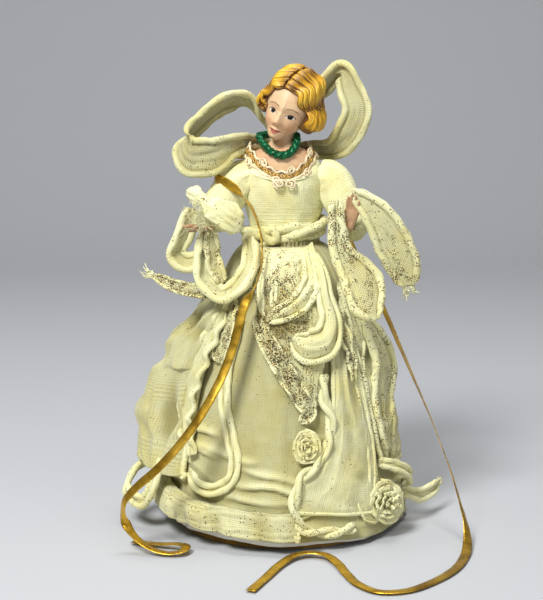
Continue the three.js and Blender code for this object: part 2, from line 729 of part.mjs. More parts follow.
piece('hand_loop_left', gauze, (grow) => freeStrip({
  anchor: leftArm.wrist,
  path: [
    [-3, -2, -3, 0.1, 1, 0.1],
    [-5, -8, -21, 0.1, 1, 0.1],
    [-4, -13, -35, 0, 1, 0.2],
    [8, -17, -45, 0, 1, 0.3],
    [21, -17, -36, 0, 1, 0.2],
    [27, -12, -22, -0.1, 1, 0.1],
    [26, -6, -8, -0.1, 1, 0.1],
  ],
  width: [14, 15, 16, 16, 16, 15, 13],
  steps: 18,
}, grow), [
  'hand_left', 'hand_wrap_left', 'sleeve_left', 'hand_cascade_left', 'waist_sash', 'skirt', 'bodice',
]);

piece('hand_loop_left_inner', gauze, (grow) => freeStrip({
  anchor: leftArm.wrist,
  path: [
    [0, -6, -3, 0.9, 0.4, 0.1],
    [2, -9, -24, 0.9, 0.5, 0.1],
    [8, -12, -38, 0.9, 0.5, 0.1],
  ],
  width: [10, 12, 9],
  steps: 8,
}, grow), ['hand_left', 'hand_wrap_left', 'sleeve_left', 'hand_loop_left', 'hand_cascade_left', 'skirt']);

piece('hand_drop_right', gauze, (grow) => freeStrip({
  anchor: rightArm.wrist,
  path: [
    [-10.5, -11, 19, 0.95, 0.1, 0.2],
    [-10, -11, 3, 0.98, 0.1, 0.1],
    [-6, -12, -17, 0.97, 0.15, 0],
    [7, -16, -36, 0.9, 0.3, 0],
    [11, -21, -51, 0.9, 0.35, 0],
    [16, -24, -61, 0.85, 0.4, -0.2],
  ],
  width: [11, 12, 16, 32, 27, 13],
  bulge: 1,
  steps: 18,
}, grow), ['hand_right', 'sleeve_right', 'arm_wire', 'skirt', 'waist_sash']);

piece('hand_swag_right', gauze, (grow) => freeStrip({
  anchor: rightArm.wrist,
  path: [
    [0, -8, 24.5, -0.4, 0.3, -0.85],
    [15, -10, 11, -0.8, 0.2, -0.5],
    [28, -7, -10, -0.9, 0.2, -0.4],
    [36, -3, -28, -0.92, 0.2, -0.3],
    [40, 1, -42, -0.95, 0.2, -0.2],
  ],
  width: [9, 20, 27, 25, 14],
  bulge: -1.5,
  steps: 16,
}, grow), ['hand_right', 'sleeve_right', 'hand_drop_right', 'arm_wire']);

piece('frayed_tail_left', gauze, (grow) => skirtStrip({
  path: [[-46, 0.83, 2.4], [-53, 0.845, 16], [-60, 0.855, 29], [-68, 0.866, 38], [-75, 0.893, 51]],
  width: [10, 11, 12, 12, 9],
  steps: 10,
}, grow), ['skirt', 'hand_cascade_left', 'hand_loop_left', 'hand_loop_left_inner']);

// Drapery on the skirt, from the inside out

assembly('skirt_drapery', new THREE.Vector3(0, 0, SKIRT_HEM_HEIGHT));

piece('apron', gauze, (grow) => skirtStrip({
  path: [[4, 0.985, 3], [4, 0.9, 2.6], [6, 0.8, 2.4], [11, 0.68, 2.4], [17, 0.57, 2.4], [20, 0.49, 2.4]],
  width: [30, 40, 46, 40, 26, 14],
  bulge: 2,
  steps: 16,
}, grow), ['skirt', 'waist_sash', 'hand_loop_left', 'hand_loop_left_inner', 'hand_drop_right']);

piece('apron_twist', gauze, (grow) => skirtStrip({
  path: [
    [36, 0.985, 5], [31, 0.9, 7.2], [28, 0.8, 7.4], [27, 0.7, 7.4], [23, 0.645, 7.8], [16, 0.68, 8],
    [12, 0.75, 7],
  ],
  width: [9, 11, 12, 12, 11, 10, 8],
  steps: 15,
}, grow), ['skirt', 'apron', 'waist_sash', 'hand_drop_right']);

piece('sash_tail', gauze, (grow) => skirtStrip({
  path: [[-34, 0.99, 3.5], [-29, 0.93, 3.2], [-26, 0.87, 2.6]],
  width: [9, 10, 8],
  steps: 7,
}, grow), ['skirt', 'waist_sash', 'apron', 'hand_loop_left', 'hand_loop_left_inner']);

piece('side_panel_left', gauze, (grow) => skirtStrip({
  path: [
    [-60, 0.78, 2.4], [-65, 0.7, 13], [-69, 0.6, 20], [-70, 0.5, 20], [-68, 0.4, 17], [-66, 0.31, 11],
    [-63, 0.235, 2.4],
  ],
  width: [22, 34, 43, 46, 45, 42, 26],
  swing: -22,
  bulge: -4,
  steps: 18,
}, grow), ['skirt', 'frayed_tail_left', 'hand_loop_left', 'hand_cascade_left']);

piece('front_loop_left', gauze, (grow) => skirtStrip({
  path: [
    [-33, 0.76, 2.4], [-38, 0.58, 2.4], [-37, 0.46, 2.4], [-32, 0.36, 2.4], [-28, 0.28, 2.6],
    [-30, 0.22, 3], [-36, 0.185, 4], [-44, 0.19, 4], [-52, 0.22, 3],
  ],
  width: [12, 14, 15, 14, 13, 12, 12, 12, 11],
  steps: 18,
}, grow), ['skirt', 'side_panel_left', 'hand_loop_left', 'hand_loop_left_inner', 'sash_tail', 'apron']);

piece('hem_loop_left', gauze, (grow) => skirtStrip({
  path: [
    [-80, 0.34, 2.4], [-74, 0.27, 14], [-66, 0.16, 19], [-70, 0.07, 23], [-78, 0.1, 32], [-84, 0.17, 24],
    [-90, 0.2, 2.4],
  ],
  width: [10, 12, 12, 11, 11, 11, 9],
  steps: 15,
}, grow), ['skirt', 'side_panel_left', 'front_loop_left']);

piece('side_fall_right', gauze, (grow) => skirtStrip({
  path: [[72, 0.76, 2.4], [72, 0.66, 9], [71, 0.54, 11], [70, 0.44, 9], [69, 0.34, 7], [69, 0.25, 2.4]],
  width: [18, 29, 35, 35, 31, 18],
  swing: 9,
  bulge: -2,
  steps: 15,
}, grow), ['skirt', 'hand_drop_right']);

piece('front_fold_right', gauze, (grow) => skirtStrip({
  path: [[45, 0.66, 2.4], [47, 0.55, 2.4], [48, 0.42, 2.4], [48, 0.3, 2.4], [46, 0.19, 2.4], [42, 0.1, 2.4]],
  width: [8, 9, 10, 10, 9, 8],
  steps: 15,
}, grow), ['skirt', 'side_fall_right', 'hand_drop_right', 'apron']);

piece('back_fold', gauze, (grow) => skirtStrip({
  path: [
    [178, 0.9, 2.4], [180, 0.7, 2.4], [181, 0.5, 2.4], [180, 0.3, 2.4], [180, 0.12, 2.4], [180, 0.03, 2.4],
  ],
  width: [8, 9, 10, 10, 10, 9],
  steps: 12,
}, grow), ['skirt']);

piece('rosette_low', gauze, (grow) =>
  rosette(52, 0.1, 15, grow), ['skirt', 'front_fold_right', 'side_fall_right']);
piece('rosette_high', gauze, (grow) =>
  rosette(11, 0.335, 11.5, grow), ['skirt', 'apron']);

// A rosette is a strip rolled up on itself: a low dome with stepped turns.
function rosette(degrees, share, radius, grow) {
  const turns = [[1, 0], [0.98, 0.34], [0.74, 0.5], [0.72, 0.66], [0.46, 0.76], [0.44, 0.86], [0.2, 0.86]];
  const profile = turns.map(([r, h]) => [r * radius + grow, h * radius * 0.72 + grow]);
  const foot = [[0, -8 - grow], [radius - 3 + grow, -8 - grow]];
  const dome = lathe([...foot, ...profile, [0, 0.7 * radius * 0.72 + grow]], 14);
  const outward = skirtOutward([degrees, share]).add(new THREE.Vector3(0, -ROSETTE_TURN, 0)).normalize();
  const turn = new THREE.Quaternion().setFromUnitVectors(up, outward);
  const at = onSkirt([degrees, share, 2.5]);
  return turned(dome, new THREE.Matrix4().compose(at, turn, new THREE.Vector3(1, 1, 1)));
}

piece('hem_loop_right', gauze, (grow) => skirtStrip({
  path: [[54, 0.235, 2.4], [62, 0.215, 9], [71, 0.17, 13], [77, 0.13, 9], [81, 0.115, 2.4]],
  width: [8, 9, 10, 10, 8],
  steps: 14,
}, grow), ['skirt', 'side_fall_right', 'front_fold_right', 'rosette_low']);

piece('trail_tail_right', gauze, (grow) => skirtStrip({
  path: [[78, 0.085, 2.4], [83, 0.055, 12], [88, 0.06, 21], [93, 0.07, 28]],
  width: [10, 11, 11, 9],
  steps: 10,
}, grow), ['skirt', 'hem_loop_right', 'rosette_low']);

piece('leaf_low', gauze, (grow) => skirtStrip({
  path: [[36, 0.13, 1.4], [41, 0.08, 1.4], [46, 0.04, 1.4]],
  width: [6, 11, 6],
  roll: 2.4,
  steps: 6,
}, grow), ['skirt', 'rosette_low', 'front_fold_right']);

// A vine of twisted gauze winds from the apron round the upper rosette to the lower one.
piece('vine', gauze, (grow) => {
  const path = [
    [24, 0.58, 3.4], [22, 0.5, 3.4], [25, 0.42, 3.4], [22.5, 0.34, 3.4], [15, 0.265, 3.4], [8, 0.23, 3.4],
    [5, 0.18, 3.4], [4, 0.12, 3.4], [7, 0.065, 3.4], [14, 0.04, 3.4], [24, 0.035, 3.4], [33, 0.045, 3.4],
  ];
  return sweptBar(path.map(onSkirt), VINE_DIAMETER + 2 * grow, VINE_DIAMETER + 2 * grow, 6, 26);
}, ['skirt', 'apron', 'apron_twist', 'rosette_high', 'rosette_low', 'front_fold_right', 'leaf_low']);

// Gold ribbon: tied round the bow's stem, with one tail over the left shoulder and one down the right side

assembly('ribbon', knotAxis);

const wrapHeight = knotAxis.z - KNOT_HEIGHT / 2 - KNOT_STEM_LENGTH / 2;

piece('ribbon_wrap', goldFoil, (grow) => {
  const inner = KNOT_STEM_RADIUS + CLEARANCE;
  const outer = inner + 1.2 + grow;
  const half = RIBBON_WIDTH / 2 - 0.4 + grow;
  return lathe([[inner, -half], [outer, -half], [outer, half], [inner, half], [inner, -half]], 24)
    .translate([knotAxis.x, knotAxis.y, wrapHeight]);
}, ['bodice', 'bow_wire', 'bow_knot']);

// The routes are chosen by hand, from the wrap to the loose end.
const ribbonFrontRoute = [
  [-7.4, 28, 252], [-18, 25, 255], [-29, 18, 258], [-39, 9, 257], [-46, -2, 251], [-47, -11, 244.5],
  [-39, -19, 241], [-30, -27, 235], [-22, -32, 225], [-17, -37, 212], [-15, -45, 198], [-16, -54, 186],
  [-20, -61, 176],
  [-26, -65, 166], [-30, -68, 153], [-34, -71, 138], [-40, -75, 122], [-48, -80, 106], [-58, -84, 90],
  [-71, -87, 73], [-86, -88, 57], [-99, -86, 45], [-107, -83, 34], [-107, -82, 22],
  [-100, -84, 11], [-89, -88, 4], [-77, -91, 2], [-68, -90, 3], [-66, -84, 4.2], [-72, -79, 4],
  [-82, -75, 2.6], [-94, -70, 1.6], [-103, -66, 1.2],
];
const ribbonSideRoute = [
  [8.2, 29, 252], [16, 32, 247], [26, 38, 234], [35, 46, 218], [45, 53, 199], [55, 57, 179], [66, 57, 158],
  [76, 52, 138], [84, 43, 120], [91, 29, 104], [98, 14, 88], [105, -2, 72], [111, -17, 56], [117, -32, 40],
  [121, -47, 25], [124, -62, 12], [123, -78, 4], [119, -95, 1.4], [109, -119, 1.2], [93, -140, 1.2],
  [75, -155, 1.2], [58, -157, 1.2], [46, -145, 1.2], [39, -126, 1.2], [34, -109, 2], [27, -97, 3],
  [17, -93.5, 3.4], [7, -97, 3], [-2, -109, 2], [-12, -132, 1.2], [-22, -156, 1.2],
];

// Over the figure a ribbon lies flat on what is under it, and on the floor it lies flat on the floor.
function ribbon(route, floorFrom, grow) {
  const points = route.map((p) => new THREE.Vector3(...p));
  const lean = (t, at) => {
    const down = THREE.MathUtils.smoothstep(t, floorFrom, floorFrom + 0.12);
    const outward = new THREE.Vector3(at.x, at.y, 0).normalize().multiplyScalar(1 - down);
    return outward.addScaledVector(up, 0.25 + down);
  };
  return sweptBar(points, RIBBON_WIDTH + 2 * grow, RIBBON_THICKNESS + 2 * grow, 4, 54, false, lean);
}

piece('ribbon_front', goldFoil, (grow) => ribbon(ribbonFrontRoute, 0.66, grow));
piece('ribbon_side', goldFoil, (grow) => ribbon(ribbonSideRoute, 0.46, grow));

// Assembly

const cutters = new Map();
const grown = (name) => {
  if (!cutters.has(name)) cutters.set(name, pieces.find((p) => p.name === name).make(CLEARANCE));
  return cutters.get(name);
};

for (const { name, material, make, clearOf, group } of pieces) {
  const solid = clearOf.reduce((rest, other) => rest.subtract(grown(other)), make(0));
  const geometry = toGeometry(largest(solid.simplify(SMOOTHING)));
  geometry.translate(...group.position.clone().negate().toArray());
  const mesh = new THREE.Mesh(geometry, material);
  mesh.name = name;
  group.add(mesh);
}

export default angel;
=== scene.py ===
"""Angel tree topper: starched gauze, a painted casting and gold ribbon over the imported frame.

Metres, +Z up, the face looks along -Y. Left and right are the viewer's.
"""

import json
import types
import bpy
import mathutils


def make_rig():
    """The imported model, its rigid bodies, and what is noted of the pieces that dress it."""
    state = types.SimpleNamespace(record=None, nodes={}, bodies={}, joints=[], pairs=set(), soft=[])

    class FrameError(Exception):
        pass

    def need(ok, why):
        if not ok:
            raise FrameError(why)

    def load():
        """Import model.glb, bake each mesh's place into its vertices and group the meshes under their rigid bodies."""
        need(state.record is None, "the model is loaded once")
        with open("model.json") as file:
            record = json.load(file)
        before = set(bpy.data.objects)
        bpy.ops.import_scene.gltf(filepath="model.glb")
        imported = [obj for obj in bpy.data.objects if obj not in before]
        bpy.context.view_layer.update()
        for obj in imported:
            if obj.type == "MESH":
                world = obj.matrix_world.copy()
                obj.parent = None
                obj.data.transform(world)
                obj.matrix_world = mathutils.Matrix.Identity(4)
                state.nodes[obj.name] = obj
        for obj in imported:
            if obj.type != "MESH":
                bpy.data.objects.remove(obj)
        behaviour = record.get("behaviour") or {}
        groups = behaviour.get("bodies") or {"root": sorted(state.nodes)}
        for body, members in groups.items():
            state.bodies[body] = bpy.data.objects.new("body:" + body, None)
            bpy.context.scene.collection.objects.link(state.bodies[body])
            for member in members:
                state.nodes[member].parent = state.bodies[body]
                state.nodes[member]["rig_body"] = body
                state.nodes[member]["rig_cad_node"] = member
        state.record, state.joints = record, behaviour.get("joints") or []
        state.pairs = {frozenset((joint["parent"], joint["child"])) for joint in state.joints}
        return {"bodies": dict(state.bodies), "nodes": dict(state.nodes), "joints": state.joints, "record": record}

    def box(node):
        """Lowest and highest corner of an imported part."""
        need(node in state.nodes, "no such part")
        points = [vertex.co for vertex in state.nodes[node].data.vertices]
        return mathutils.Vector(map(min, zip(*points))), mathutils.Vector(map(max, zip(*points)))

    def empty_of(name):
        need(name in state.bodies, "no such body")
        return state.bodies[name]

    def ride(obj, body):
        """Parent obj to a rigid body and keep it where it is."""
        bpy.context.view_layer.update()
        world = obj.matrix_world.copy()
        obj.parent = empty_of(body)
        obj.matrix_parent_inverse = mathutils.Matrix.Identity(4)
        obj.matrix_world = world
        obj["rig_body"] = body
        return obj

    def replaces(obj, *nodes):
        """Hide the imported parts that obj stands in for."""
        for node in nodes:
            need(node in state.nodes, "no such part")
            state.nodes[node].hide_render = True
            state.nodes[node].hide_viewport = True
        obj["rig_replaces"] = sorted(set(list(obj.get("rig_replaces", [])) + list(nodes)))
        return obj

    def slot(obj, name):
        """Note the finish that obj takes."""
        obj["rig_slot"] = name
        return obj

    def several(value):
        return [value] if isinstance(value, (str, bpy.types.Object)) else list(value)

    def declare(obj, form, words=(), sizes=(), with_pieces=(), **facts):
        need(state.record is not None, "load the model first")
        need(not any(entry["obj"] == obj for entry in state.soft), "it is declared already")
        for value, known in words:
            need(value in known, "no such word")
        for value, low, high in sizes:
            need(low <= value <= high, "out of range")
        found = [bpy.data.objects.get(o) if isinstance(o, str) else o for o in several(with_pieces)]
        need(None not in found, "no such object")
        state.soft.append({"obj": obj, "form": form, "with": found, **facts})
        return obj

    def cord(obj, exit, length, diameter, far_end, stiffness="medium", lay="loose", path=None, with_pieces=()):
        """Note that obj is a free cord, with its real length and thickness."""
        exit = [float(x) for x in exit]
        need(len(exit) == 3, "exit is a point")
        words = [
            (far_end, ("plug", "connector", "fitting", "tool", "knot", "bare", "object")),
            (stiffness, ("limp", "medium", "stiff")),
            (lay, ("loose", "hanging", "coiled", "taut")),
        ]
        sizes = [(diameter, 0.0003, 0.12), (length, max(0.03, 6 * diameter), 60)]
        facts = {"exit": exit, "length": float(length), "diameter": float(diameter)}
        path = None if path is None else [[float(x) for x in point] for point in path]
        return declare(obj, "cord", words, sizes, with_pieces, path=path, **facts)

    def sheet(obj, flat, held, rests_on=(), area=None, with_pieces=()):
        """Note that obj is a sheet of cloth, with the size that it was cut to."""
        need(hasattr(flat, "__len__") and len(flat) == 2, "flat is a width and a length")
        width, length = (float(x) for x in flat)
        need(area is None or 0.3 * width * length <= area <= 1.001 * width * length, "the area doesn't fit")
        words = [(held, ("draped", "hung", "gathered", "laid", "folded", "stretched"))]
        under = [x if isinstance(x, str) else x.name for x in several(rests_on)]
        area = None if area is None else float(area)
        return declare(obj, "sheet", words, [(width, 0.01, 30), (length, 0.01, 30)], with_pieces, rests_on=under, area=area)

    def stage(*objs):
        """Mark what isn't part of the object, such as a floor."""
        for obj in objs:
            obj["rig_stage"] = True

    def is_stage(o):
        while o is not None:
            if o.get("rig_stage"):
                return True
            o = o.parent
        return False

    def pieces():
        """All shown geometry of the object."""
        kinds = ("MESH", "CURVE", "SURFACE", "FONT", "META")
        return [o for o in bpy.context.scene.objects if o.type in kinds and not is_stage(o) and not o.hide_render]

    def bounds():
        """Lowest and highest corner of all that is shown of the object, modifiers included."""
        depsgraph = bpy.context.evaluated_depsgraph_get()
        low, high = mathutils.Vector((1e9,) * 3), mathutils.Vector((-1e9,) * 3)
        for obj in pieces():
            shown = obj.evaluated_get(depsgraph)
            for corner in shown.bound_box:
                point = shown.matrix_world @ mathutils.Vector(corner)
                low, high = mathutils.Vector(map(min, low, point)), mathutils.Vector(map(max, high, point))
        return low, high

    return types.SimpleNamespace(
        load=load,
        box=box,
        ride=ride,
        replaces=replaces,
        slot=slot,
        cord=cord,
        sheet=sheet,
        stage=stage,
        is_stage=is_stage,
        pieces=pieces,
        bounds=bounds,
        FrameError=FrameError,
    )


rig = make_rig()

bl_info = {
    "name": "Angel tree topper",
    "version": (1, 0, 0),
    "blender": (4, 5, 0),
    "location": "View3D > Sidebar > Angel",
    "description": "Dresses the figure in starched gauze, a painted casting and gold ribbon",
    "category": "Object",
}

import json
import math
from functools import partial

import bmesh
import bpy
from mathutils import Matrix, Vector, noise

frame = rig.load()
CAD_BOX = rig.bounds()
MM = 0.001
UP = Vector((0, 0, 1))
# No flat side of a sheet is declared narrower than this.
NARROWEST = 10.5 * MM
# Masks of the gauze: how open its weave is, how much glitter it has and how dusty it is
GAUZE = ("sheer", "glitter", "shade")


# Colours and sizes that a user would change


def linear(hex_colour):
    """Turn an sRGB hex colour into linear RGBA."""
    shares = [int(hex_colour[i:i + 2], 16) / 255 for i in (1, 3, 5)]
    return tuple(c / 12.92 if c <= 0.04045 else ((c + 0.055) / 1.055) ** 2.4 for c in shares) + (1.0,)


def colour(name, description, hex_colour):
    """Give a colour property its sRGB default."""
    return bpy.props.FloatVectorProperty(name=name, description=description, default=linear(hex_colour),
        size=4, min=0, max=1, subtype="COLOR")


def length(name, description, millimetres):
    """Give a length property its default, in metres."""
    return bpy.props.FloatProperty(name=name, description=description, default=millimetres * MM,
        unit="LENGTH")


class GownSizes(bpy.types.PropertyGroup):
    """Sizes of the skirt and of the gauze drapery on it."""

    hem_radius: length("Hem radius", "Radius of the skirt at its hem", 86)
    waist_radius: length("Waist radius", "Radius of the skirt where it meets the bodice", 24.2)
    hem_height: length("Hem height", "Height of the hem above the table", 6)
    waist_height: length("Waist height", "Height of the skirt's top", 198)
    fold_depth: length("Fold depth", "How far the skirt's main folds stand out", 2.6)
    roll: length("Rolled hem", "Diameter of the rolled hem along a gauze strip", 5.2)
    cloth: length("Cloth", "Thickness of the starched gauze", 0.4)
    thread_pitch: length("Thread spacing", "Spacing of the gauze threads as drawn", 1.15)
    ribbon_width: length("Ribbon width", "Width of the gold ribbon", 6.4)
    flare: bpy.props.FloatProperty(name="Flare", description="Below 1 the skirt swells like a bell",
        default=0.55)
    folds: bpy.props.IntProperty(name="Folds", description="Main folds round the skirt", default=8, min=3)


class CastingSizes(bpy.types.PropertyGroup):
    """Place and attitude of the cast head."""

    centre: bpy.props.FloatVectorProperty(
        name="Head centre", description="Middle of the head", default=(0.004, -0.005, 0.2921), unit="LENGTH")
    scale: bpy.props.FloatProperty(name="Head scale", description="Size of the carved head", default=1.06)
    tilt: bpy.props.FloatProperty(name="Tilt", description="Lean towards the viewer's right",
        default=math.radians(22), unit="ROTATION")
    turn: bpy.props.FloatProperty(
        name="Turn", description="Turn of the face", default=math.radians(-15), unit="ROTATION")
    nod: bpy.props.FloatProperty(name="Nod", description="Face down", default=math.radians(4),
        unit="ROTATION")


class Finishes(bpy.types.PropertyGroup):
    """Colours of the cloth, the paint, the foil and the trim."""

    gauze: colour("Gauze", "Starched gauze where it is clean", "#f8f7c6")
    gauze_warm: colour("Yellowed gauze", "Gauze where the starch has yellowed", "#ebe193")
    gauze_shade: colour("Gauze in the folds", "Dust and dye in the folds", "#807536")
    glitter_dark: colour("Brown glitter", "Dark grains of glitter", "#3a2908")
    glitter_gold: colour("Gold glitter", "Light grains of glitter", "#8f6d16")
    lining: colour("Lining", "Plain white cotton", "#f1eee0")
    card: colour("Foil card", "Gold-brown foil on the cone", "#7d5c1d")
    foam: colour("Foam", "Rigid foam of the body", "#ece8dc")
    wire: colour("Wire", "Bright iron wire", "#9a9b9e")
    skin: colour("Skin", "Painted casting resin", "#e2bf95")
    blush: colour("Blush", "Airbrushed cheeks", "#cf8462")
    lips: colour("Lips", "Painted lips", "#a9564a")
    hair: colour("Hair", "Golden paint on the hair", "#d69f15")
    hair_light: colour("Hair highlights", "Dry-brushed ridges of the hair", "#fad955")
    hair_dark: colour("Hair grooves", "Brown wash in the grooves", "#5c3406")
    tinsel: colour("Tinsel", "Emerald tinsel cord", "#07643b")
    film: colour("Gold film", "Metallic gold ribbon", "#d9ae3c")
    film_dark: colour("Worn film", "Ribbon where the gold is thin", "#a8801f")
    braid: colour("Braid", "Cream scrolls of the neckline braid", "#efdcb4")
    gilt: colour("Gilt", "Gilt cord of the neckline braid", "#bd9244")
    floor: colour("Floor", "Pale floor and backdrop", "#b9bbbe")


# Curves and small sums


def ease(value, low, high):
    """Rise smoothly from 0 at low to 1 at high."""
    share = min(max((value - low) / (high - low), 0), 1)
    return share * share * (3 - 2 * share)


def hump(distance, spread):
    """Fall off smoothly from 1 in the middle."""
    return math.exp(-0.5 * (distance / spread) ** 2)


def along(values, share):
    """Read a list of values that are spread evenly from 0 to 1."""
    if len(values) == 1:
        return values[0]
    place = min(max(share, 0), 1) * (len(values) - 1)
    at = min(int(place), len(values) - 2)
    return values[at] + (values[at + 1] - values[at]) * (place - at)


def rumple(x, y=0.0, z=0.0):
    """Smooth unevenness between about -1 and 1."""
    return noise.noise(Vector((x, y, z)))


def round_noise(turn, size, along_by):
    """Smooth unevenness that meets itself after a full turn."""
    return rumple(size * math.sin(turn), size * math.cos(turn), along_by)


def mixed(under, over, amount):
    """Lay one colour over another."""
    return tuple(u + (o - u) * amount for u, o in zip(under, over))


def millimetres(points):
    """Turn points typed in millimetres into metres."""
    return [Vector(p) * MM for p in points]


def spline(points, loop=False):
    """Give a function of 0 to 1 that runs smoothly through the points."""
    count = len(points)

    def at(share):
        place = (count if loop else count - 1) * share
        index = min(int(place), count - 1 if loop else count - 2)
        rest = place - index
        p1, p2 = points[index], points[(index + 1) % count]
        p0 = points[(index - 1) % count] if loop or index > 0 else p1 * 2 - p2
        p3 = points[(index + 2) % count] if loop or index + 2 < count else p2 * 2 - p1
        d0, d1, d2 = ((b - a).length_squared ** 0.25 or 1e-4 for a, b in ((p0, p1), (p1, p2), (p2, p3)))
        t1 = ((p1 - p0) / d0 - (p2 - p0) / (d0 + d1) + (p2 - p1) / d1) * d1
        t2 = ((p2 - p1) / d1 - (p3 - p1) / (d1 + d2) + (p3 - p2) / d2) * d1
        curve = (p1 - p2) * 2 + t1 + t2
        return p1 + (t1 + (p2 * 3 - p1 * 3 - t1 * 2 - t2 + curve * rest) * rest) * rest

    return at


def shares(count):
    """Even shares from 0 to 1, with both ends."""
    return [i / (count - 1) for i in range(count)]


def sampled(points, count, loop=False):
    """Read a smooth curve at even shares."""
    line = spline(points, loop)
    return [line(share) for share in shares(count + 1)]


def run_length(points):
    """Length of a run of points."""
    return sum((b - a).length for a, b in zip(points, points[1:]))


# Meshes: flat grids of cloth that are bent into shape


def new_shape(*masks):
    """Start a mesh with threads as UVs and a float for each mask."""
    shape = bmesh.new()
    shape.loops.layers.uv.new("Threads")
    for mask in masks:
        shape.verts.layers.float.new(mask)
    return shape


def bend(shape, columns, rows, place, threads, masks=None):
    """Add a flat grid to a mesh and bend it.

    place(u, v) gives a point for u across and v along, threads(u, v) the distances on the flat cloth,
    and each mask(u, v) how much of a finish there is.
    """
    uv = shape.loops.layers.uv["Threads"]
    corners = bmesh.ops.create_grid(shape, x_segments=columns, y_segments=rows, size=0.5)["verts"]
    flat = {corner: (corner.co.x + 0.5, corner.co.y + 0.5) for corner in corners}
    for face in {face for corner in corners for face in corner.link_faces}:
        for loop in face.loops:
            loop[uv].uv = threads(*flat[loop.vert])
    layers = [(shape.verts.layers.float[name], mask) for name, mask in (masks or {}).items()]
    for corner, (u, v) in flat.items():
        corner.co = place(u, v)
        for layer, mask in layers:
            corner[layer] = mask(u, v)
    return corners


def carried(line, out=None):
    """Frames along a run of points: centre, across, outwards.

    Without a way out they are carried along untwisted. A closed run comes back to the frame it began with.
    """
    count = len(line) - 1
    closed = (line[0] - line[-1]).length < 1e-6
    frames = []
    last = None
    for i, centre in enumerate(line):
        before, after = max(i - 1, 0), min(i + 1, count)
        if closed:
            before, after = (i - 1) % count, (i + 1) % count
        tangent = (line[after] - line[before]).normalized()
        if out is not None:
            lean = out(centre)
        elif last is None:
            lean = Vector((0.31, -0.9, 0.27))
        else:
            lean = last
        last = (lean - tangent * lean.dot(tangent)).normalized()
        frames.append((centre, tangent.cross(last), last))
    if not closed or out is not None:
        return frames
    _, across, outwards = frames[0]
    spin = math.atan2(frames[-1][2].dot(across), frames[-1][2].dot(outwards))
    for i, (centre, side, lift) in enumerate(frames):
        turn = spin * i / count
        cos, sin = math.cos(turn), math.sin(turn)
        frames[i] = (centre, side * cos + lift * sin, lift * cos - side * sin)
    return frames


def tube(shape, line, radius, columns=10, out=None, flat=1.0, masks=None, ends=0.04):
    """Add a tube along a run of points.

    radius(share, turn) is in metres, and flat squeezes the tube along its way out.
    """
    frames = carried(line, out)
    rows = len(line) - 1
    far = run_length(line)

    def place(u, v):
        centre, side, lift = frames[round(v * rows)]
        turn = math.tau * u
        cap = min(1, v / ends, (1 - v) / ends) if ends else 1
        reach = radius(v, turn) * math.sqrt(max(0, 1 - (1 - cap) ** 2))
        return centre + side * (reach * math.cos(turn)) + lift * (reach * flat * math.sin(turn))

    around = math.tau * radius(0.5, 0)
    bend(shape, columns, rows, place, lambda u, v: (u * around, v * far), masks)


def made(shape, name, material, body="figure", slot="gauze", nodes=()):
    """Turn a mesh into a finished piece that rides on a body."""
    bmesh.ops.remove_doubles(shape, verts=shape.verts, dist=1e-6)
    bmesh.ops.dissolve_degenerate(shape, edges=shape.edges, dist=1e-7)
    bmesh.ops.recalc_face_normals(shape, faces=shape.faces)
    for face in shape.faces:
        face.smooth = True
    mesh = bpy.data.meshes.new(name)
    shape.to_mesh(mesh)
    shape.free()
    return placed(mesh, name, material, body, slot, nodes)


def placed(mesh, name, material, body="figure", slot="gauze", nodes=()):
    """Put a mesh into the scene as a piece that rides on a body."""
    piece = bpy.data.objects.new(name, mesh)
    bpy.context.scene.collection.objects.link(piece)
    mesh.materials.clear()
    mesh.materials.append(material)
    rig.ride(piece, body)
    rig.slot(piece, slot)
    if nodes:
        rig.replaces(piece, *nodes)
    return piece


def thicken(piece, thickness, offset=0):
    """Give a sheet its thickness: to both sides of it, or inwards with an offset of -1."""
    solid = piece.modifiers.new("Thickness", "SOLIDIFY")
    solid.thickness = thickness
    solid.offset = offset


def cut_cloth(piece, far, held, rests_on, sides=1, fringe=()):
    """A closed roll has two sides: the surface that is seen and as much again inside it.
    """
    area = sum(face.area for face in piece.data.polygons) / sides
    wide = max(area / far, NARROWEST)
    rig.sheet(piece, flat=(wide, area / wide), held=held, rests_on=rests_on, with_pieces=fringe)


def as_sheet(piece, far, held, rests_on, layers=1):
    cut_cloth(piece, far, held, rests_on)
    thicken(piece, bpy.context.scene.angel_gown.cloth * layers)


# Materials

# Settings of a node that blends two colours, and of one that rises smoothly
BLEND = {"data_type": "RGBA", "out": 2}
SMOOTH = {"interpolation_type": "SMOOTHSTEP"}


def plug(tree, target, inputs):
    """Set the inputs of a shader node, or link them."""
    for key, value in inputs.items():
        if isinstance(value, bpy.types.NodeSocket):
            tree.links.new(value, target.inputs[key])
        else:
            target.inputs[key].default_value = value


def node(tree, kind, inputs=None, out=0, **settings):
    """Add a shader node with its settings, set or link its inputs, and give one of its outputs."""
    new = tree.nodes.new("ShaderNode" + kind)
    for name, value in settings.items():
        setattr(new, name, value)
    plug(tree, new, inputs or {})
    return new.outputs[out]


def finish(name):
    """Turn a shader into a function that gives its material and makes it only once.

    The shader gets a way to add nodes and the colours, and gives the inputs of the Principled shader.
    """

    def decorate(shader):
        def material():
            known = bpy.data.materials.get(name)
            if known:
                return known
            new = bpy.data.materials.new(name)
            new.use_nodes = True
            tree = new.node_tree
            inputs = shader(partial(node, tree), bpy.context.scene.angel_finishes)
            plug(tree, tree.nodes["Principled BSDF"], inputs)
            return new

        return material

    return decorate


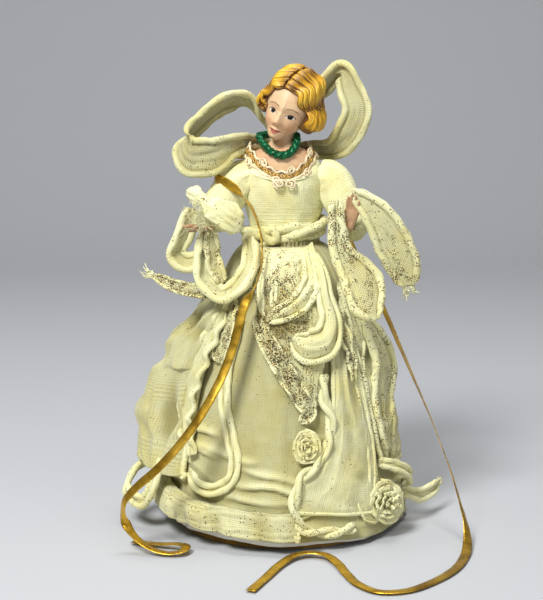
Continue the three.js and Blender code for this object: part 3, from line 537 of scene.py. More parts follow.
@finish("Starched cotton gauze")
def gauze(add, tints):
    """Cotton gauze dipped in starch: an open, uneven weave of cream threads, with yellowing and glitter."""
    pitch = bpy.context.scene.angel_gown.thread_pitch
    threads = add("UVMap", uv_map="Threads", out="UV")
    place = add("TexCoord", out="Object")
    # Slack threads wander by about half their spacing over a couple of centimetres.
    slack = add("TexNoise", {"Vector": threads, "Scale": 1 / (14 * MM), "Detail": 2.0}, out="Color")
    slack = add("VectorMath", {0: slack, 1: (0.5, 0.5, 0.5)}, operation="SUBTRACT")
    slack = add("VectorMath", {0: slack, "Scale": 2.2 * MM}, operation="SCALE")
    cloth = add("VectorMath", {0: threads, 1: slack}, operation="ADD")
    axes = add("SeparateXYZ", {0: cloth}).node.outputs
    # Real gauze has a thread every 0.7 mm or so. They are further apart here, so that they show.
    gaps = [add("Math", {0: axes[i], 1: pitch / 2}, operation="PINGPONG") for i in (0, 1)]
    gap = add("Math", {0: gaps[0], 1: gaps[1]}, operation="MINIMUM")
    opening = add("MapRange", {0: gap, 1: 0.16 * pitch, 2: 0.34 * pitch}, **SMOOTH)
    # Starch fills some of the openings in patches of a centimetre or two.
    filled = add("TexNoise", {"Vector": place, "Scale": 1 / (9 * MM), "Detail": 3.0})
    open_patch = add("MapRange", {0: filled, 1: 0.3, 2: 0.62, 3: 0.25, 4: 1.0})
    sheer = add("Attribute", attribute_name="sheer", out="Fac")
    see = add("Math", {0: opening, 1: open_patch}, operation="MULTIPLY")
    see = add("Math", {0: see, 1: sheer}, operation="MULTIPLY")
    # Yellowed starch lies in soft blotches, and dust in the folds.
    blotch = add("TexNoise", {"Vector": place, "Scale": 1 / (22 * MM), "Detail": 4.0})
    blotch = add("MapRange", {0: blotch, 1: 0.42, 2: 0.7, 3: 0.0, 4: 0.8})
    body = add("Mix", {0: blotch, 6: tints.gauze, 7: tints.gauze_warm}, **BLEND)
    # Drawn threads run along the cloth as fine streaks, 0.8 mm apart and a centimetre long.
    drawn = add("Mapping", {"Vector": threads, "Scale": (1 / (0.8 * MM), 1 / (10 * MM), 1)})
    streak = add("TexNoise", {"Vector": drawn, "Scale": 1.0, "Detail": 3.0})
    streaked = add("MapRange", {0: streak, 1: 0.45, 2: 0.7, 3: 0.0, 4: 0.45})
    body = add("Mix", {0: streaked, 6: body, 7: tints.gauze_warm}, **BLEND)
    # The furrows along the weft show more than those along the warp, and they fade in and out.
    furrows = [add("MapRange", {0: gap, 1: 0.2 * pitch, 2: 0.42 * pitch, 4: deep}, **SMOOTH)
               for gap, deep in zip(gaps, (0.17, 0.26))]
    between = add("Math", {0: furrows[0], 1: furrows[1]}, operation="MAXIMUM")
    between = add("Math", {0: between, 1: open_patch}, operation="MULTIPLY")
    body = add("Mix", {0: between, 6: body, 7: tints.gauze_shade}, **BLEND)
    shade = add("Attribute", attribute_name="shade", out="Fac")
    body = add("Mix", {0: shade, 6: body, 7: tints.gauze_shade}, **BLEND)
    # Grains of glitter, a little under a millimetre, stick where the cloth was brushed with glue.
    grains = add("TexVoronoi", {"Vector": place, "Scale": 1 / (0.95 * MM)}).node.outputs
    chance = add("SeparateColor", {0: grains["Color"]}).node.outputs
    brushed = add("Attribute", attribute_name="glitter", out="Fac")
    lucky = add("Math", {0: chance[0], 1: brushed}, operation="LESS_THAN")
    inside = add("Math", {0: grains["Distance"], 1: 0.5}, operation="LESS_THAN")
    grain = add("Math", {0: lucky, 1: inside}, operation="MULTIPLY")
    sparkle = add("MapRange", {0: chance[1], 1: 0.35, 2: 0.9})
    grit = add("Mix", {0: sparkle, 6: tints.glitter_dark, 7: tints.glitter_gold}, **BLEND)
    body = add("Mix", {0: grain, 6: body, 7: grit}, **BLEND)
    # Torn gauze pulls into a net with holes of two or three millimetres.
    pulled = add("TexNoise", {"Vector": place, "Scale": 1 / (4 * MM), "Detail": 1.0}, out="Color")
    pulled = add("VectorMath", {0: pulled, "Scale": 4 * MM}, operation="SCALE")
    pulled = add("VectorMath", {0: place, 1: pulled}, operation="ADD")
    torn = add("TexVoronoi", {"Vector": pulled, "Scale": 1 / (2.9 * MM)}, "Distance",
        feature="DISTANCE_TO_EDGE")
    hole = add("MapRange", {0: torn, 1: 0.1, 2: 0.17}, **SMOOTH)
    lace = add("Attribute", attribute_name="lace", out="Fac")
    hole = add("Math", {0: hole, 1: lace}, operation="MULTIPLY")
    see = add("Math", {0: see, 1: hole}, operation="MAXIMUM")
    solid = add("Math", {0: 1.0, 1: see}, operation="SUBTRACT")
    solid = add("Math", {0: solid, 1: grain}, operation="MAXIMUM")
    crumple = add("TexNoise", {"Vector": place, "Scale": 1 / (2.6 * MM), "Detail": 4.0})
    height = add("Math", {0: opening, 1: -0.4, 2: crumple}, operation="MULTIPLY_ADD")
    height = add("Math", {0: streak, 1: 1.1, 2: height}, operation="MULTIPLY_ADD")
    bump = add("Bump", {"Strength": 0.75, "Distance": 0.6 * MM, "Height": height})
    rough = add("MapRange", {0: grain, 3: 0.88, 4: 0.5})
    return {"Base Color": body, "Alpha": solid, "Roughness": rough, "Normal": bump,
            "Sheen Weight": 0.25, "Sheen Roughness": 0.5, "Specular IOR Level": 0.25}


@finish("White cotton lining")
def lining(add, tints):
    """Plain white cotton: a tight weave, soft creases and a little grey dust."""
    threads = add("UVMap", uv_map="Threads", out="UV")
    # A thread every 0.5 mm, drawn at 0.8 mm so that it shows.
    weave = add("TexChecker", {"Vector": threads, "Scale": 1 / (0.8 * MM)}, out="Fac")
    place = add("TexCoord", out="Object")
    dust = add("TexNoise", {"Vector": place, "Scale": 1 / (15 * MM), "Detail": 4.0})
    dust = add("MapRange", {0: dust, 1: 0.4, 2: 0.8, 3: 0.0, 4: 0.35})
    body = add("Mix", {0: dust, 6: tints.lining, 7: tints.gauze_warm}, **BLEND)
    bump = add("Bump", {"Strength": 0.3, "Distance": 0.2 * MM, "Height": weave})
    return {"Base Color": body, "Roughness": 0.85, "Normal": bump, "Sheen Weight": 0.15}


@finish("Gold-brown foil card")
def foil_card(add, tints):
    """Rolled cardboard faced with gold-brown foil: satin, with rub marks and a faint wrinkle."""
    place = add("TexCoord", out="Object")
    stretched = add("Mapping", {"Vector": place, "Scale": (1, 1, 0.2)})
    rub = add("TexNoise", {"Vector": stretched, "Scale": 1 / (6 * MM), "Detail": 5.0})
    rubbed = add("MapRange", {0: rub, 1: 0.4, 2: 0.75, 3: 0.0, 4: 0.5})
    body = add("Mix", {0: rubbed, 6: tints.card, 7: tints.film_dark}, **BLEND)
    rough = add("MapRange", {0: rub, 3: 0.35, 4: 0.6})
    bump = add("Bump", {"Strength": 0.2, "Distance": 0.3 * MM, "Height": rub})
    return {"Base Color": body, "Metallic": 0.6, "Roughness": rough, "Normal": bump}


@finish("Moulded polystyrene")
def foam(add, tints):
    """Moulded polystyrene: fused beads about three millimetres across, quite matt."""
    place = add("TexCoord", out="Object")
    beads = add("TexVoronoi", {"Vector": place, "Scale": 1 / (3 * MM)}, out="Distance")
    body = add("Mix", {0: beads, 6: tints.foam, 7: tints.lining}, **BLEND)
    bump = add("Bump", {"Strength": 0.5, "Distance": 0.4 * MM, "Height": beads})
    return {"Base Color": body, "Roughness": 0.9, "Normal": bump}


@finish("Drawn iron wire")
def iron_wire(add, tints):
    """Drawn iron wire: bright, with fine dull streaks."""
    place = add("TexCoord", out="Object")
    streak = add("TexNoise", {"Vector": place, "Scale": 1 / (1.5 * MM), "Detail": 3.0})
    body = add("Mix", {0: streak, 6: tints.wire, 7: tints.foam}, **BLEND)
    rough = add("MapRange", {0: streak, 3: 0.25, 4: 0.5})
    return {"Base Color": body, "Metallic": 1.0, "Roughness": rough}


@finish("Airbrushed casting resin")
def painted_resin(add, tints):
    """Cast resin with airbrushed paint: satin, with faint brush marks."""
    place = add("TexCoord", out="Object")
    paint = add("Attribute", attribute_name="paint", out="Color")
    brush = add("TexNoise", {"Vector": place, "Scale": 1 / (3.5 * MM), "Detail": 4.0})
    tone = add("MapRange", {0: brush, 1: 0.3, 2: 0.7, 3: 0.94, 4: 1.03})
    body = add("VectorMath", {0: paint, "Scale": tone}, operation="SCALE")
    bump = add("Bump", {"Strength": 0.08, "Distance": 0.2 * MM, "Height": brush})
    rough = add("MapRange", {0: brush, 3: 0.38, 4: 0.5})
    return {"Base Color": body, "Roughness": rough, "Normal": bump, "Specular IOR Level": 0.28}


@finish("Painted cast hair")
def painted_hair(add, tints):
    """Cast locks with a brown wash in the grooves, gold paint over it and dry-brushed ridges."""
    locks = add("UVMap", uv_map="Threads", out="UV")
    # Carved strands run along each lock, about 0.9 mm apart.
    long = add("Mapping", {"Vector": locks, "Scale": (1 / (0.9 * MM), 1 / (16 * MM), 1)})
    strand = add("TexNoise", {"Vector": long, "Scale": 1.0, "Detail": 1.0})
    ridge = add("Attribute", attribute_name="ridge", out="Fac")
    level = add("Math", {0: strand, 1: 2.2, 2: ridge}, operation="MULTIPLY_ADD")
    level = add("Math", {0: level, 1: 1.25}, operation="SUBTRACT")
    low = add("MapRange", {0: level, 1: 0.15, 2: 0.75}, **SMOOTH)
    high = add("MapRange", {0: level, 1: 0.75, 2: 1.15}, **SMOOTH)
    body = add("Mix", {0: low, 6: tints.hair_dark, 7: tints.hair}, **BLEND)
    body = add("Mix", {0: high, 6: body, 7: tints.hair_light}, **BLEND)
    bump = add("Bump", {"Strength": 0.8, "Distance": 0.7 * MM, "Height": strand})
    return {"Base Color": body, "Roughness": 0.42, "Normal": bump, "Coat Weight": 0.15,
        "Coat Roughness": 0.3}


@finish("Green tinsel film")
def tinsel(add, tints):
    """Slit metallic film spun on a cord: deep green with hard, scattered glints."""
    place = add("TexCoord", out="Object")
    # Each slit of film is about 0.9 mm wide.
    slits = add("TexVoronoi", {"Vector": place, "Scale": 1 / (0.9 * MM)}, out="Color")
    chance = add("SeparateColor", {0: slits})
    bright = add("MapRange", {0: chance, 3: 0.35, 4: 1.5})
    body = add("VectorMath", {0: tints.tinsel[:3], "Scale": bright}, operation="SCALE")
    bump = add("Bump", {"Strength": 0.9, "Distance": 0.6 * MM, "Height": chance})
    rough = add("MapRange", {0: chance, 3: 0.22, 4: 0.5})
    return {"Base Color": body, "Metallic": 0.35, "Roughness": rough, "Normal": bump}


@finish("Metallised gold film")
def gold_film(add, tints):
    """Metallised ribbon film: bright gold, scuffed in patches and crinkled where it was curled."""
    threads = add("UVMap", uv_map="Threads", out="UV")
    long = add("Mapping", {"Vector": threads, "Scale": (0.35, 1, 1)})
    crease = add("TexNoise", {"Vector": long, "Scale": 1 / (5 * MM), "Detail": 4.0})
    scuff = add("TexNoise", {"Vector": threads, "Scale": 1 / (16 * MM), "Detail": 3.0})
    worn = add("MapRange", {0: scuff, 1: 0.42, 2: 0.66})
    body = add("Mix", {0: worn, 6: tints.film, 7: tints.film_dark}, **BLEND)
    rough = add("MapRange", {0: crease, 1: 0.3, 2: 0.7, 3: 0.2, 4: 0.42})
    bump = add("Bump", {"Strength": 0.35, "Distance": 0.5 * MM, "Height": crease})
    return {"Base Color": body, "Metallic": 0.85, "Roughness": rough, "Normal": bump}


@finish("Cream and gilt gimp braid")
def scroll_braid(add, tints):
    """Woven braid with a stiff cream cord and gilt gimp: satin thread over a core, darker in its grooves."""
    threads = add("UVMap", uv_map="Threads", out="UV")
    turned = add("Mapping", {"Vector": threads, "Rotation": (0, 0, 0.6)})
    # Wound thread shows as a slant, with a turn every six millimetres.
    wound = add("TexWave", {"Vector": turned, "Scale": 0.05 / MM, "Distortion": 0.6}, out="Fac")
    gilt = add("Attribute", attribute_name="gilt", out="Fac")
    body = add("Mix", {0: gilt, 6: tints.braid, 7: tints.gilt}, **BLEND)
    deep = add("MapRange", {0: wound, 3: 0.72, 4: 1.05})
    body = add("VectorMath", {0: body, "Scale": deep}, operation="SCALE")
    metal = add("Math", {0: gilt, 1: 0.4}, operation="MULTIPLY")
    bump = add("Bump", {"Strength": 0.5, "Distance": 0.3 * MM, "Height": wound})
    return {"Base Color": body, "Metallic": metal, "Roughness": 0.45, "Normal": bump}


@finish("Pale backdrop paper")
def backdrop_paper(add, tints):
    """Matt paper with a grain of two or three millimetres."""
    place = add("TexCoord", out="Object")
    grain = add("TexNoise", {"Vector": place, "Scale": 1 / (2.5 * MM), "Detail": 2.0})
    rough = add("MapRange", {0: grain, 3: 0.8, 4: 0.95})
    return {"Base Color": tints.floor, "Roughness": rough, "Specular IOR Level": 0.2}


# The bell of the skirt: degrees run from the front towards the viewer's right, share from hem to waist


def bell_radius(angle, share):
    """Radius of the skirt at an angle and a share of its height."""
    gown = bpy.context.scene.angel_gown
    drop = min(max(1 - share, 0), 1.1)
    swell = gown.waist_radius + (gown.hem_radius - gown.waist_radius) * drop ** gown.flare
    pleat = math.cos(gown.folds * angle + 0.6) * (0.7 + 0.3 * math.cos(3 * angle))
    return swell + gown.fold_depth * min(drop, 1) * pleat


def bell_height(share):
    """Height above the table at a share of the skirt."""
    gown = bpy.context.scene.angel_gown
    return gown.hem_height + share * (gown.waist_height - gown.hem_height)


def on_skirt(degrees, share, lift=0.0):
    """A point on the skirt, or lifted off it by millimetres."""
    angle = math.radians(degrees)
    radius = bell_radius(angle, share) + lift * MM
    return Vector((radius * math.sin(angle), -radius * math.cos(angle), bell_height(share)))


def out_of_skirt(point):
    """The way straight out of the skirt near a point."""
    gown = bpy.context.scene.angel_gown
    angle = math.atan2(point.x, -point.y)
    share = (point.z - gown.hem_height) / (gown.waist_height - gown.hem_height)
    rise = bell_height(share + 0.04) - bell_height(share - 0.04)
    shrink = bell_radius(angle, share - 0.04) - bell_radius(angle, share + 0.04)
    return Vector((math.sin(angle) * rise, -math.cos(angle) * rise, shrink)).normalized()


def loose_thread(shape, root, way, far, seed):
    """Add one frayed thread that wanders away from its root."""
    line = [root]
    for i in range(1, 7):
        wander = Vector([rumple(i * 0.31, seed * 1.7, 10 * axis) for axis in range(3)])
        line.append(root + (way + wander * 0.9) * (far * i / 6))
    tube(shape, line, lambda v, turn: 0.18 * MM, 4, ends=0.2)


def skirt_panel(name, front, back, swell, folds, low=1.0, nodes=(), sheer=0.15, glitter=0.02, dust=0.3,
        hem=1.9, seed=1.0):
    """Puff a panel of gauze out over the skirt between two edges, each a run of degrees and shares.

    swell is how far it stands off the skirt, folds how deep it is crumpled and hem the radius of its rolled
    edges, in millimetres. It stands off most at its middle, or further down where low is above 1.
    """
    edges = [spline([Vector((*stop, 0)) for stop in run]) for run in (front, back)]
    far = run_length([on_skirt(*stop) for stop in front])
    wide = (on_skirt(*front[len(front) // 2]) - on_skirt(*back[len(back) // 2])).length * 1.25
    columns, rows = 84, 96

    def crumpled(u, v):
        degrees, share, _ = edges[0](v).lerp(edges[1](v), u)
        a, b = u * wide / MM, v * far / MM
        dome = max(0, math.sin(math.pi * u)) ** 0.7 * max(0, math.sin(math.pi * v ** low)) ** 0.55
        upright = 1 - 2.6 * abs(rumple(a / 15 + 0.5 * rumple(a / 26, b / 26, seed), b / 60, seed))
        across = rumple(a / 44, b / 17 + 0.6 * rumple(a / 25, b / 25, seed + 2), seed + 4)
        fine = rumple(a / 6, b / 10, seed + 8)
        return degrees, share, dome, upright + 0.9 * across + 0.2 * fine

    def place(u, v):
        degrees, share, dome, crease = crumpled(u, v)
        crumple = folds * crease * (0.25 + 0.75 * ease(dome, 0, 0.4))
        return on_skirt(degrees, share, max(1.6, 2.6 + swell * dome + crumple))

    def brushed(u, v):
        return glitter * max(0, 0.5 + rumple(u * wide / (9 * MM), v * far / (9 * MM), seed))

    def dusty(u, v):
        return dust + 0.4 * ease(-crumpled(u, v)[3], -0.3, 0.7)

    plain = {"sheer": lambda u, v: sheer, "glitter": brushed, "shade": dusty}
    rolled = {"glitter": lambda u, v: glitter, "shade": lambda u, v: 0.02}
    shape = new_shape(*GAUZE)
    bend(shape, columns, rows, place, lambda u, v: (u * wide, v * far), plain)
    runs = ([place(0, v) for v in shares(71)], [place(u, 1) for u in shares(61)],
            [place(1, v) for v in shares(71)])
    for number, run in enumerate(runs):
        def radius(v, turn, number=number):
            return hem * MM * (1 + 0.3 * round_noise(turn, 1, v * 9 + seed + 5 * number))

        tube(shape, run, radius, 12, masks=rolled)
    piece = made(shape, name, gauze(), nodes=nodes)
    both = sum(run_length([on_skirt(*stop) for stop in run]) for run in (front, back))
    as_sheet(piece, both / 2, "draped", ["gauze_skirt"])


# Gauze strips: a sheer web between two rolled hems


def strip_frames(points, across, rows, swing):
    """Frames along a strip: centre, across, outwards and the distance from its start."""
    line = spline(points)
    lean = across and spline(across)
    frames = []
    far = 0.0
    for share in shares(rows + 1):
        centre = line(share)
        tangent = (line(min(share + 0.004, 1)) - line(max(share - 0.004, 0))).normalized()
        if lean:
            side = lean(share)
            side = (side - tangent * side.dot(tangent)).normalized()
            out = tangent.cross(side)
        else:
            side = tangent.cross(out_of_skirt(centre)).normalized()
            out = side.cross(tangent)
        turn = Matrix.Rotation(math.radians(swing) * math.sin(math.pi * share), 3, tangent)
        side, out = turn @ side, turn @ out
        far += (centre - frames[-1][0]).length if frames else 0
        frames.append((centre, side, out, far))
    return frames


def strip(name, points, widths, across=None, body="figure", nodes=(), rests_on=("gauze_skirt",),
        held="draped", roll=None, dip=-0.3, bulge=0.0, swing=0.0, sheer=0.6, lace=0.0, glitter=(0.02,),
        shade=0.0, pleats=0.9, waves=0.0, fray=0, seed=1.0):
    """Drape a gauze strip: a web in the middle and a hem rolled up at each edge.

    dip sets the web towards the back or the front of the rolls. Bulge, pleats and waves are depths in
    millimetres: of the whole web, of its creases and of its ruffled edges. fray counts threads at its end.
    """
    thick = roll * MM if roll else bpy.context.scene.angel_gown.roll
    rows = max(20, round(run_length(sampled(points, 60)) / (1.6 * MM)))
    frames = strip_frames(points, across, rows, swing)
    web = 0.42
    start = math.pi - math.asin(dip)
    sweep = math.radians(400)

    def section(u, v):
        far = frames[round(v * rows)][3]
        tuck = 0.4 + 0.6 * ease(min(v, 1 - v), 0, 0.07)
        wide = along(widths, v) * MM * (0.3 + 0.7 * tuck)
        q = 2 * u - 1
        edge = math.copysign(1, q)
        radius = min(thick, wide / 2.4) / 2 * tuck * (1 + 0.16 * rumple(far / (9 * MM), seed, edge * 3))
        middle = wide / 2 - radius + 0.9 * MM * rumple(far / (20 * MM), seed + 5, edge)
        inner = middle - radius * math.sqrt(1 - dip * dip)
        ruffle = waves * MM * tuck * (
            math.sin(far / (2.7 * MM) + seed + 1.3 * edge) + rumple(far / (7 * MM), seed + 2, edge * 4))
        if abs(q) <= web:
            share = q / web
            slack = 1 - share * share
            crease = rumple(share * inner / (3.6 * MM), far / (20 * MM), seed)
            fold = rumple(share * inner / (9 * MM), far / (14 * MM), seed + 9)
            depth = bulge * MM + pleats * MM * (crease + 0.8 * fold)
            height = dip * radius + slack * depth + share * share * ruffle
            return share * inner, height, share * inner
        share = (abs(q) - web) / (1 - web)
        turn = start + share * sweep
        settle = min(1, share * 5)
        lumps = 0.09 * math.sin(2 * turn + far / (2.1 * MM) + seed)
        lumps += 0.14 * rumple(turn, far / (4 * MM), seed + edge)
        reach = radius * (1 + settle * lumps) * (1 - 0.3 * max(0, share - 0.9) / 0.1)
        return (edge * (middle + reach * math.cos(turn)), reach * math.sin(turn) + ruffle,
                edge * (inner + radius * share * sweep))

    def place(u, v):
        centre, side, out, _ = frames[round(v * rows)]
        across_by, lifted, _ = section(u, v)
        return centre + side * across_by + out * lifted

    def threads(u, v):
        return section(u, v)[2], frames[round(v * rows)][3]

    def in_web(amount):
        def mask(u, v):
            q = abs(2 * u - 1)
            return amount * (1 - (q / web) ** 4) if q < web else 0.0

        return mask

    def brushed(u, v):
        point = place(u, v)
        patch = 0.42 + 1.5 * rumple(point.x / (6 * MM), point.y / (6 * MM), point.z / (6 * MM))
        return along(glitter, v) * max(0, patch)

    def dusty(u, v):
        q = abs(2 * u - 1)
        return shade + (0.2 if q < web else 0) + 0.34 * hump(q - web, 0.05)

    shape = new_shape("lace", *GAUZE)
    bend(shape, 46, rows, place, threads, {
        "sheer": in_web(sheer), "lace": in_web(lace), "glitter": brushed, "shade": dusty})
    for number in range(fray):
        way = (frames[-1][0] - frames[-4][0]).normalized()
        root = place(0.05 + 0.9 * number / fray, 1)
        loose_thread(shape, root, way, (5 + 2 * (number % 3)) * MM, seed + number)
    piece = made(shape, name, gauze(), body, "gauze", nodes)
    as_sheet(piece, frames[-1][3], held, rests_on)


def skirt_strip(name, path, widths, **rest):
    """Drape a strip on the skirt. Each stop is degrees, share and lift in millimetres."""
    strip(name, [on_skirt(*stop) for stop in path], widths, **rest)


def free_strip(name, anchor, path, widths, **rest):
    """Hang a strip from an anchor. Each stop is an offset in millimetres and the way across there."""
    points = [anchor + Vector(stop[:3]) * MM for stop in path]
    strip(name, points, widths, [Vector(stop[3:]) for stop in path], **rest)


def twisted(shape, points, strands, strand, lay, pitch, glitter=(0.03,), seed=1.0, loop=False, columns=10):
    """Twist strands of rolled gauze round each other along a line. Sizes are in millimetres."""
    core = sampled(points, max(30, round(run_length(sampled(points, 60, loop)) / (1.6 * MM))), loop)
    frames = carried(core)
    far = [0.0]
    for a, b in zip(core, core[1:]):
        far.append(far[-1] + (b - a).length)
    whole = max(1, round(far[-1] / (pitch * MM))) if loop else far[-1] / (pitch * MM)
    for number in range(strands):
        line = []
        for (centre, side, out), gone in zip(frames, far):
            turn = math.tau * (number / strands + whole * gone / far[-1])
            line.append(centre + (side * math.cos(turn) + out * math.sin(turn)) * (lay * MM))

        def radius(v, turn, number=number):
            lumps = 0.16 * round_noise(turn, 1, v * far[-1] / (5 * MM) + 7 * seed + number)
            lumps += 0.08 * math.sin(2 * turn + 60 * v)
            return strand * MM * (1 + lumps * (ease(min(v, 1 - v), 0, 0.03) if loop else 1))

        def brushed(u, v, line=line):
            point = line[round(v * (len(line) - 1))]
            patch = 0.5 + 0.9 * rumple(point.x / (8 * MM), point.y / (8 * MM), point.z / (8 * MM))
            return along(glitter, v) * max(0, patch)

        tube(shape, line, radius, columns, masks={
            "glitter": brushed, "shade": lambda u, v: 0.04}, ends=0 if loop else 0.03)
    return far[-1]


# Places on the figure, in metres

LEFT_WRIST = Vector((-50, -27, 213.3)) * MM
RIGHT_WRIST = Vector((45, -31, 213.3)) * MM
KNOT = Vector((0, 28.04, 266.3)) * MM
FIGURE_MIDDLE = Vector((0, 0, 0.16))

# The camera, and the backdrop's floor, which bends up into a wall, in metres
EYE = Vector((-0.0088, -0.9848, 0.3301))
AIM = Vector((-0.0088, 0, 0.1565))
LENS, SENSOR = 84.7, 36
FLOOR_RUN, BEND_RUN, WALL_RUN = 3.4, 0.94, 2.06
BEND_RADIUS = 0.6
FLOOR_FRONT, FLOOR_LEVEL, HALF_WIDTH = -2.2, -0.0005, 4


class ANGEL_OT_stage(bpy.types.Operator):
    """Set up the camera, the pale floor and soft studio light"""

    bl_idname = "angel.stage"
    bl_label = "Stage"

    def execute(self, context):
        scene = context.scene
        scene.view_settings.view_transform = "Standard"
        eye = bpy.data.cameras.new("Camera")
        eye.lens = LENS
        eye.sensor_width = SENSOR
        camera = bpy.data.objects.new("Camera", eye)
        camera.location = EYE
        camera.rotation_euler = (AIM - EYE).to_track_quat("-Z", "Y").to_euler()
        scene.collection.objects.link(camera)
        scene.camera = camera

        shape = bmesh.new()
        bmesh.ops.create_grid(shape, x_segments=24, y_segments=60, size=1)
        for corner in shape.verts:
            run = (corner.co.y + 1) / 2 * (FLOOR_RUN + BEND_RUN + WALL_RUN)
            bow = min(max(run - FLOOR_RUN, 0), BEND_RUN) / BEND_RUN * math.pi / 2
            corner.co = Vector((
                corner.co.x * HALF_WIDTH,
                FLOOR_FRONT + min(run, FLOOR_RUN) + BEND_RADIUS * math.sin(bow),
                FLOOR_LEVEL + BEND_RADIUS * (1 - math.cos(bow)) + max(run - FLOOR_RUN - BEND_RUN, 0),
            ))
        for face in shape.faces:
            face.smooth = True
        mesh = bpy.data.meshes.new("Backdrop")
        shape.to_mesh(mesh)
        shape.free()
        floor = bpy.data.objects.new("Backdrop", mesh)
        scene.collection.objects.link(floor)
        mesh.materials.append(backdrop_paper())
        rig.stage(floor)

        # Name, place, watts and size of each lamp
        lamps = (
            ("Key", (-0.6, -1.1, 1.45), 36, 0.5),
            ("Fill", (1.3, -1.1, 0.8), 4, 1.2),
            ("Top", (0.1, 0.1, 1.9), 15, 0.6),
        )
        for name, spot, watts, size in lamps:
            light = bpy.data.lights.new(name, "AREA")
            light.energy = watts
            light.size = size
            lamp = bpy.data.objects.new(name, light)
            lamp.location = spot
            lamp.rotation_euler = (FIGURE_MIDDLE - lamp.location).to_track_quat("-Z", "Y").to_euler()
            scene.collection.objects.link(lamp)
        world = scene.world or bpy.data.worlds.new("World")
        scene.world = world
        world.use_nodes = True
        sky = world.node_tree.nodes["Background"]
        sky.inputs["Color"].default_value = linear("#f2f3f6")
        sky.inputs["Strength"].default_value = 0.2
        return {"FINISHED"}


def film_strip(name, route, floor_from, edge_on, node_name, material):
    """Lay a flat ribbon along its route: against the figure at first, then flat on the floor.

    Between the two shares of edge_on the ribbon is twisted, so that its edge faces outwards.
    """
    rows = 260
    line = sampled(millimetres(route), rows)
    wide = bpy.context.scene.angel_gown.ribbon_width
    far = run_length(line)
    frames = []
    for i, centre in enumerate(line):
        share = i / rows
        down = ease(share, floor_from, floor_from + 0.12)
        lean = Vector((centre.x, centre.y, 0)).normalized() * (1 - down) + UP * (0.25 + down)
        tangent = (line[min(i + 1, rows)] - line[max(i - 1, 0)]).normalized()
        twist = ease(share, edge_on[0], edge_on[0] + 0.04) - ease(share, edge_on[1], edge_on[1] + 0.04)
        side = Matrix.Rotation(math.radians(80) * twist, 3, tangent) @ tangent.cross(lean).normalized()
        frames.append((centre, side, side.cross(tangent)))

    def place(u, v):
        centre, side, out = frames[round(v * rows)]
        curl = 0.35 * MM * (1 - (2 * u - 1) ** 2) + 0.2 * MM * rumple(v * far / (7 * MM), u * 2)
        return centre + side * ((u - 0.5) * wide) + out * curl

    shape = new_shape()
    bend(shape, 6, rows, place, lambda u, v: (u * wide, v * far))
    piece = made(shape, name, material, slot="gold_foil", nodes=(node_name,))
    thicken(piece, 0.25 * MM)
    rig.cord(piece, exit=line[0], length=far, diameter=wide, far_end="bare", stiffness="limp", lay="loose",
            path=line[::4])


class ANGEL_OT_ribbons(bpy.types.Operator):
    """Tie the gold ribbon round the bow's stem and let its two tails fall to the table"""

    bl_idname = "angel.ribbons"
    bl_label = "Gold ribbons"

    def execute(self, context):
        front = ((-7.4, 28, 252), (-18, 25, 255), (-29, 18, 258), (-39, 9, 257), (-46, -2, 251),
            (-47, -11, 244.5), (-39, -19, 241), (-30, -27, 235), (-22, -32, 225), (-17, -37, 212),
            (-15, -45, 198), (-16, -54, 186), (-20, -61, 176), (-26, -65, 166), (-30, -68, 153),
            (-34, -71, 138), (-40, -75, 122), (-48, -80, 106), (-58, -84, 90), (-71, -87, 73),
            (-86, -88, 57), (-99, -86, 45), (-107, -83, 34), (-107, -82, 22), (-100, -84, 11),
            (-89, -88, 4), (-77, -91, 2), (-68, -90, 3), (-66, -84, 4.2), (-72, -79, 4), (-82, -75, 2.6),
            (-94, -70, 1.6), (-103, -66, 1.2))
        side = ((8.2, 29, 252), (16, 32, 247), (26, 38, 234), (35, 46, 218), (45, 53, 199), (55, 57, 179),
            (66, 57, 158), (76, 52, 138), (84, 43, 120), (91, 29, 104), (98, 14, 88), (105, -2, 72),
            (111, -17, 56), (117, -32, 40), (121, -47, 25), (124, -62, 12), (123, -78, 4),
            (119, -95, 1.4), (109, -119, 1.2), (93, -140, 1.2), (75, -155, 1.2), (58, -157, 1.2),
            (46, -145, 1.2), (39, -126, 1.2), (34, -109, 2), (27, -97, 3), (17, -93.5, 3.4), (7, -97, 3),
            (-2, -109, 2), (-12, -132, 1.2), (-22, -156, 1.2))
        film_strip("ribbon_tail_front", front, 0.66, (0.2, 0.37), "ribbon_front", gold_film())
        film_strip("ribbon_tail_side", side, 0.46, (0, 0), "ribbon_side", gold_film())

        low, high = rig.box("ribbon_wrap")
        middle = (low + high) / 2
        reach = (high.x - low.x) / 2

        def place(u, v):
            turn = math.tau * u
            crinkle = 0.25 * MM * math.sin(9 * turn) * (v - 0.5) + 0.3 * MM * math.sin(math.pi * v)
            away = Vector((math.sin(turn), -math.cos(turn), 0))
            return middle + away * (reach - 0.4 * MM + crinkle) + UP * ((v - 0.5) * (high.z - low.z))

        shape = new_shape()
        bend(shape, 48, 8, place, lambda u, v: (v * 6 * MM, u * 40 * MM))
        wrap = made(shape, "ribbon_turn", gold_film(), slot="gold_foil", nodes=("ribbon_wrap",))
        thicken(wrap, 0.4 * MM, -1)
        return {"FINISHED"}


class ANGEL_OT_core(bpy.types.Operator):
    """Give the cone, the foam body and the wires their finishes"""

    bl_idname = "angel.core"
    bl_label = "Cone, body and wires"

    def execute(self, context):
        finishes = {"cone_core": foil_card(), "torso_form": foam(), "arm_wire": iron_wire(),
            "bow_wire": iron_wire()}
        for name, material in finishes.items():
            mesh = frame["nodes"][name].data
            mesh.materials.clear()
            mesh.materials.append(material)
        return {"FINISHED"}


# The cast head. Its own millimetres have the face along -Y and the middle of the head at the origin.

